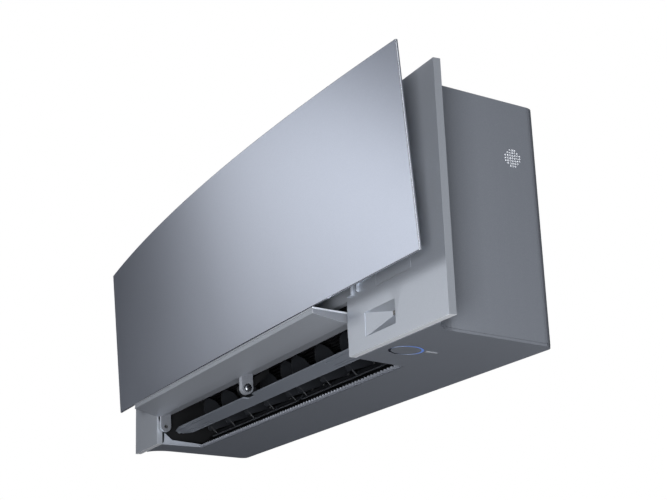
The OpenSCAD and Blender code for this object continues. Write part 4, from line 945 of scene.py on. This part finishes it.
def hole_rim_highlights():
    """Pale rims round the small holes in front of the room sensor, flush in the right side:
    painted highlights on the holes' edges.
    """
    made = grown(
        "hole_rim_highlights",
        field_plan(),
        {
            "Across": HOLES_ACROSS,
            "Pitch": HOLE_STEP * MM,
            "Field Radius": HOLES_R * MM,
            "Rim Radius": HOLE_R * MM,
            "Wire Radius": HOLE_WIRE_R * MM,
            "Finish": M["rim_highlight_pale"],
        },
        Matrix.Translation(row(HOLES_X, HOLES_Y, HOLES_Z))
        @ Matrix.Rotation(SIDE_TAPER, 4, "Z")
        @ Matrix.Rotation(math.pi / 2, 4, "Y"),
    )
    return settle(made, "casing", "silver")


outlet_comb()
hole_rim_highlights()

FINS = fin_plan()
for name, (low, high) in COIL_SLABS.items():
    dy, dz = high[0] - low[0], high[1] - low[1]
    tilt = math.atan2(dz, dy) - math.pi / 2
    centre = row(COIL_X0 + FIN_INSET, (low[0] + high[0]) / 2, (low[1] + high[1]) / 2)
    fins = grown(
        name,
        FINS,
        {
            "Fins": int((COIL_X1 - COIL_X0 - 2 * FIN_INSET) / FIN_PITCH),
            "Pitch": FIN_PITCH * MM,
            "Fin Thickness": FIN_T * MM,
            "Slab Thickness": (COIL_T + 2 * FIN_PROUD) * MM,
            "Slab Height": (math.hypot(dy, dz) - 2 * FIN_SHORT) * MM,
            "Finish": M["fin_foil"],
        },
        Matrix.Translation(centre) @ Matrix.Rotation(tilt, 4, "X"),
    )
    settle(fins, "casing", "fin")

fan = grown(
    "fan_barrel",
    fan_plan(),
    {
        "Blades": BLADES,
        "Radius": FAN_R * MM,
        "Blade Depth": BLADE_D * MM,
        "Blade Thickness": BLADE_T * MM,
        "Length": (FAN_X1 - FAN_X0 - 2 * FAN_PLAY) * MM,
        "Sections": SECTIONS,
        "Disc Thickness": DISC_T * MM,
        "Finish": M["inner_black_and_shade"],
    },
    Matrix.Translation(row((FAN_X0 + FAN_X1) / 2, FAN_Y, FAN_Z))
    @ Matrix.Rotation(math.pi / 2, 4, "Y"),
)
settle(fan, "fan", "black_plastic", "cross_flow_fan")

NET = net_plan()
for side, (x0, x1) in NET_SPANS.items():
    sheet = grown(
        f"filter_mesh_{side}",
        NET,
        {
            "Width": (x1 - x0 - 2 * NET_BORDER) * MM,
            "Height": NET_H * MM,
            "Pitch": NET_PITCH * MM,
            "Strand": NET_STRAND * MM,
            "Finish": M["net_dark"],
        },
        Matrix.Translation(row((x0 + x1) / 2, NET_Y, NET_LOW + NET_BORDER + NET_H / 2)),
    )
    settle(sheet, "casing", "net")


# ---------------------------------------------------------------- pins and the crossed screw
def lathe(name, profile, x0, material, steps=40):
    """A turned part on the flap's axis: profile is (x, radius) pairs from left to right."""
    points, faces = [], []
    for x, radius in profile:
        for k in range(steps):
            a = 2 * math.pi * k / steps
            y, z = PIVOT_Y + radius * math.cos(a), PIVOT_Z + radius * math.sin(a)
            points.append(row(x0 + x, y, z))
    for i in range(len(profile) - 1):
        for k in range(steps):
            a, b = i * steps + k, i * steps + (k + 1) % steps
            faces.append((a, b, b + steps, a + steps))
    faces.append(tuple(range(steps - 1, -1, -1)))
    last = (len(profile) - 1) * steps
    faces.append(tuple(range(last, last + steps)))
    return mesh_piece(name, points, faces, [material])


def crossed(head, x_face, size, width, depth):
    """Sinks a cross recess into a turned head whose outer face lies at x_face."""
    past = 3
    cutters = []
    for w, h in ((size, width), (width, size)):
        low = row(x_face - depth, PIVOT_Y - w / 2, PIVOT_Z - h / 2)
        high = row(x_face + past, PIVOT_Y + w / 2, PIVOT_Z + h / 2)
        box = bmesh.new()
        bmesh.ops.create_cube(box, size=1)
        box.transform(Matrix.Translation((low + high) / 2) @ Matrix.Diagonal((*(high - low), 1)))
        mesh = bpy.data.meshes.new("cutter")
        box.to_mesh(mesh)
        box.free()
        cutter = linked("cutter", mesh)
        cutters.append(cutter)
        cut = head.modifiers.new("cross", "BOOLEAN")
        cut.operation = "DIFFERENCE"
        cut.solver = "EXACT"
        cut.object = cutter
    made = plain_mesh(head, head.name)
    for cutter in cutters:
        bpy.data.objects.remove(cutter)
    return made


def pivot_screw():
    """The middle pivot: a pin with a domed, crossed head on a washer."""
    sunk, chamfer = 0.05, 0.4
    start = MID_ARM_X - sunk - PROP_T
    length = MID_ARM_X + MID_ARM_T + SEAT - start
    # Washer and dome, from the arm outward
    outward = [(0, 5.6), (0.7, 5.6), (0.8, 4.4), (1.5, 4.2), (2.1, 3.4), (2.5, 2.2)]
    profile = [(0.0, PIN_R - chamfer), (chamfer, PIN_R), (length, PIN_R)]
    profile += [(length + x, radius) for x, radius in outward]
    head = lathe("pivot_screw", profile, start, M["screw_dark"])
    return smoothed(crossed(head, start + profile[-1][0], 4.6, 1.0, 1.4), PIN_ANGLE)


def right_pin():
    """The pin between the flap's right arm and the casing."""
    chamfer, wall, past = 0.5, 4, 6
    start = OUTLET_R - ARM_IN - ARM_T + ARM_T / 4
    length = OUTLET_R + wall + past - start
    profile = [
        (0.0, PIN_R - chamfer),
        (chamfer, PIN_R),
        (length - chamfer, PIN_R),
        (length, PIN_R - chamfer),
    ]
    return smoothed(lathe("pivot_pin_right", profile, start, M["steel_pin"]), PIN_ANGLE)


settle(pivot_screw(), "casing", "steel", "flap_pivots")
settle(right_pin(), "casing", "steel", "flap_pivots")

# ---------------------------------------------------------------- CAD nodes that stay
for node, finish in {
    "mounting_plate": "zinc_sheet",
    "base_frame": "inner_black_and_shade",
    "drain_pan": "inner_black_and_shade",
    "evaporator_front": "fin_foil",
    "evaporator_rear": "fin_foil",
    "evaporator_bends": "copper_tube",
    "air_filter_left": "net_dark",
    "air_filter_right": "net_dark",
    "deodoriser_cassette": "cassette_green",
    "control_box": "pale_plastic",
    "circuit_board": "board_green",
    "terminal_block": "inner_black_and_shade",
    "fan_motor": "motor_grey",
    "fan_bearing": "inner_black_and_shade",
    "fan_shafts": "steel_pin",
    "refrigerant_pipes": "copper_tube",
    "flare_nuts": "brass_nut",
    "drain_nozzle": "pale_plastic",
    "sensor_window": "smoked_window",
    "side_cover_right": "body_silver",
    "intake_grille": "body_silver",
    "indicator_ring": "ring_light",
    "room_sensor": "pale_plastic",
    "flap_shaft": "steel_pin",
    "flap_motor": "pale_plastic",
    "louver_motor": "pale_plastic",
    "vane_link_left": "vane_black_and_shade",
    "vane_link_right": "vane_black_and_shade",
    "vane_motors": "pale_plastic",
    "panel_arm_left": "pale_plastic",
    "panel_arm_right": "pale_plastic",
    "panel_guides": "inner_black_and_shade",
    "panel_pinion_left": "pale_plastic",
    "panel_pinion_right": "pale_plastic",
    "panel_motors": "motor_grey",
    "panel_brackets": "pale_plastic",
    "panel_hinge_pins": "steel_pin",
}.items():
    dress(node, finish)


# ---------------------------------------------------------------- stage, light and camera
def floor():
    """A plain pale floor for the camera, which throws little light back on the unit."""
    turns = ((-1, -1), (1, -1), (1, 1), (-1, 1))
    corners = [(x * FLOOR_HALF, y * FLOOR_HALF, FLOOR_Z) for x, y in turns]
    material = bpy.data.materials.new("pale_floor")
    material.use_nodes = True
    tree = material.node_tree
    tree.nodes.clear()
    s = Sketch(tree)
    seen = s.add("ShaderNodeLightPath")
    plain = s.add("ShaderNodeBsdfDiffuse")
    cloud = s.noise(s.add("ShaderNodeTexCoord").outputs["Object"], 3.0, 2.0)
    share = s.spread(cloud, 0.3, 0.7, 0.0, 0.06)
    s.join(s.blend(share, (0.86, 0.86, 0.87, 1), (0.8, 0.8, 0.8, 1)), plain.inputs[0])
    glow = s.add("ShaderNodeEmission")
    glow.inputs[0].default_value = (1, 1, 1, 1)
    glow.inputs[1].default_value = 0.55
    both = s.add("ShaderNodeAddShader")
    s.join(plain.outputs[0], both.inputs[0])
    s.join(glow.outputs[0], both.inputs[1])
    mix = s.add("ShaderNodeMixShader")
    s.join(seen.outputs["Is Camera Ray"], mix.inputs[0])
    dim = s.add("ShaderNodeBsdfDiffuse")
    dim.inputs[0].default_value = (0.16, 0.165, 0.18, 1)
    s.join(dim.outputs[0], mix.inputs[1])
    s.join(both.outputs[0], mix.inputs[2])
    s.join(mix.outputs[0], s.add("ShaderNodeOutputMaterial").inputs[0])
    mesh_piece("floor", corners, [(0, 1, 2, 3)], [material])


def studio_world():
    """White to the camera; a soft grey studio, paler up and to the front, for everything else."""
    world = bpy.data.worlds.new("studio")
    bpy.context.scene.world = world
    world.use_nodes = True
    tree = world.node_tree
    tree.nodes.clear()
    s = Sketch(tree)
    path = s.add("ShaderNodeLightPath")
    seen = s.maths("MAXIMUM", path.outputs["Is Camera Ray"], path.outputs["Is Transmission Ray"])
    aim = s.add("ShaderNodeVectorMath", operation="DOT_PRODUCT")
    s.join(s.add("ShaderNodeTexCoord").outputs["Generated"], aim.inputs[0])
    aim.inputs[1].default_value = (0.1, -0.45, 0.88)
    ramp = s.add("ShaderNodeValToRGB")
    s.join(s.spread(aim.outputs["Value"], -1.0, 1.0, 0.0, 1.0), ramp.inputs[0])
    stops = ramp.color_ramp.elements
    stops[0].position, stops[0].color = 0.15, (0.003, 0.0034, 0.004, 1)
    stops[1].position, stops[1].color = 0.95, (0.1, 0.105, 0.12, 1)
    stops.new(0.5).color = (0.008, 0.009, 0.0115, 1)
    back = s.add("ShaderNodeBackground")
    s.join(s.blend(seen, ramp.outputs[0], (1, 1, 1, 1)), back.inputs[0])
    s.join(back.outputs[0], s.add("ShaderNodeOutputWorld").inputs[0])


def soft_lamp(name, azimuth, elevation, watts):
    """A square lamp aimed at the unit: degrees round from the front to the right, and up."""
    a, e = math.radians(azimuth), math.radians(elevation)
    way = Vector((math.sin(a) * math.cos(e), -math.cos(a) * math.cos(e), math.sin(e)))
    place = way * LAMP_FAR
    lamp = bpy.data.lights.new(name, "AREA")
    lamp.shape = "SQUARE"
    lamp.size = LAMP_SIZE
    lamp.energy = watts
    obj = linked(name, lamp)
    obj.location = place
    obj.rotation_mode = "QUATERNION"
    obj.rotation_quaternion = (Vector(LAMP_AIM) - place).to_track_quat("-Z", "Y")


def photo_camera():
    """The photo's camera: 667 x 500 pixels, 1338.8 pixels of focal length."""
    az, el, roll = map(math.radians, PHOTO_TURN)
    back = Vector((math.sin(az) * math.cos(el), -math.cos(az) * math.cos(el), math.sin(el)))
    right = Vector((0, 0, 1)).cross(back).normalized()
    up = back.cross(right)
    turned_right = right * math.cos(roll) + up * math.sin(roll)
    turned_up = up * math.cos(roll) - right * math.sin(roll)
    data = bpy.data.cameras.new("camera")
    data.sensor_width = SENSOR_W
    data.lens = PHOTO_FOCUS / PHOTO_W * SENSOR_W
    data.clip_start, data.clip_end = 0.01, 60
    obj = linked("camera", data)
    turn = Matrix((turned_right, turned_up, back)).transposed().to_4x4()
    obj.matrix_world = Matrix.Translation(PHOTO_PLACE) @ turn
    bpy.context.scene.camera = obj


floor()
studio_world()
for name, aim in LAMPS.items():
    soft_lamp(name, *aim)
photo_camera()

bpy.context.scene.view_settings.view_transform = "Standard"
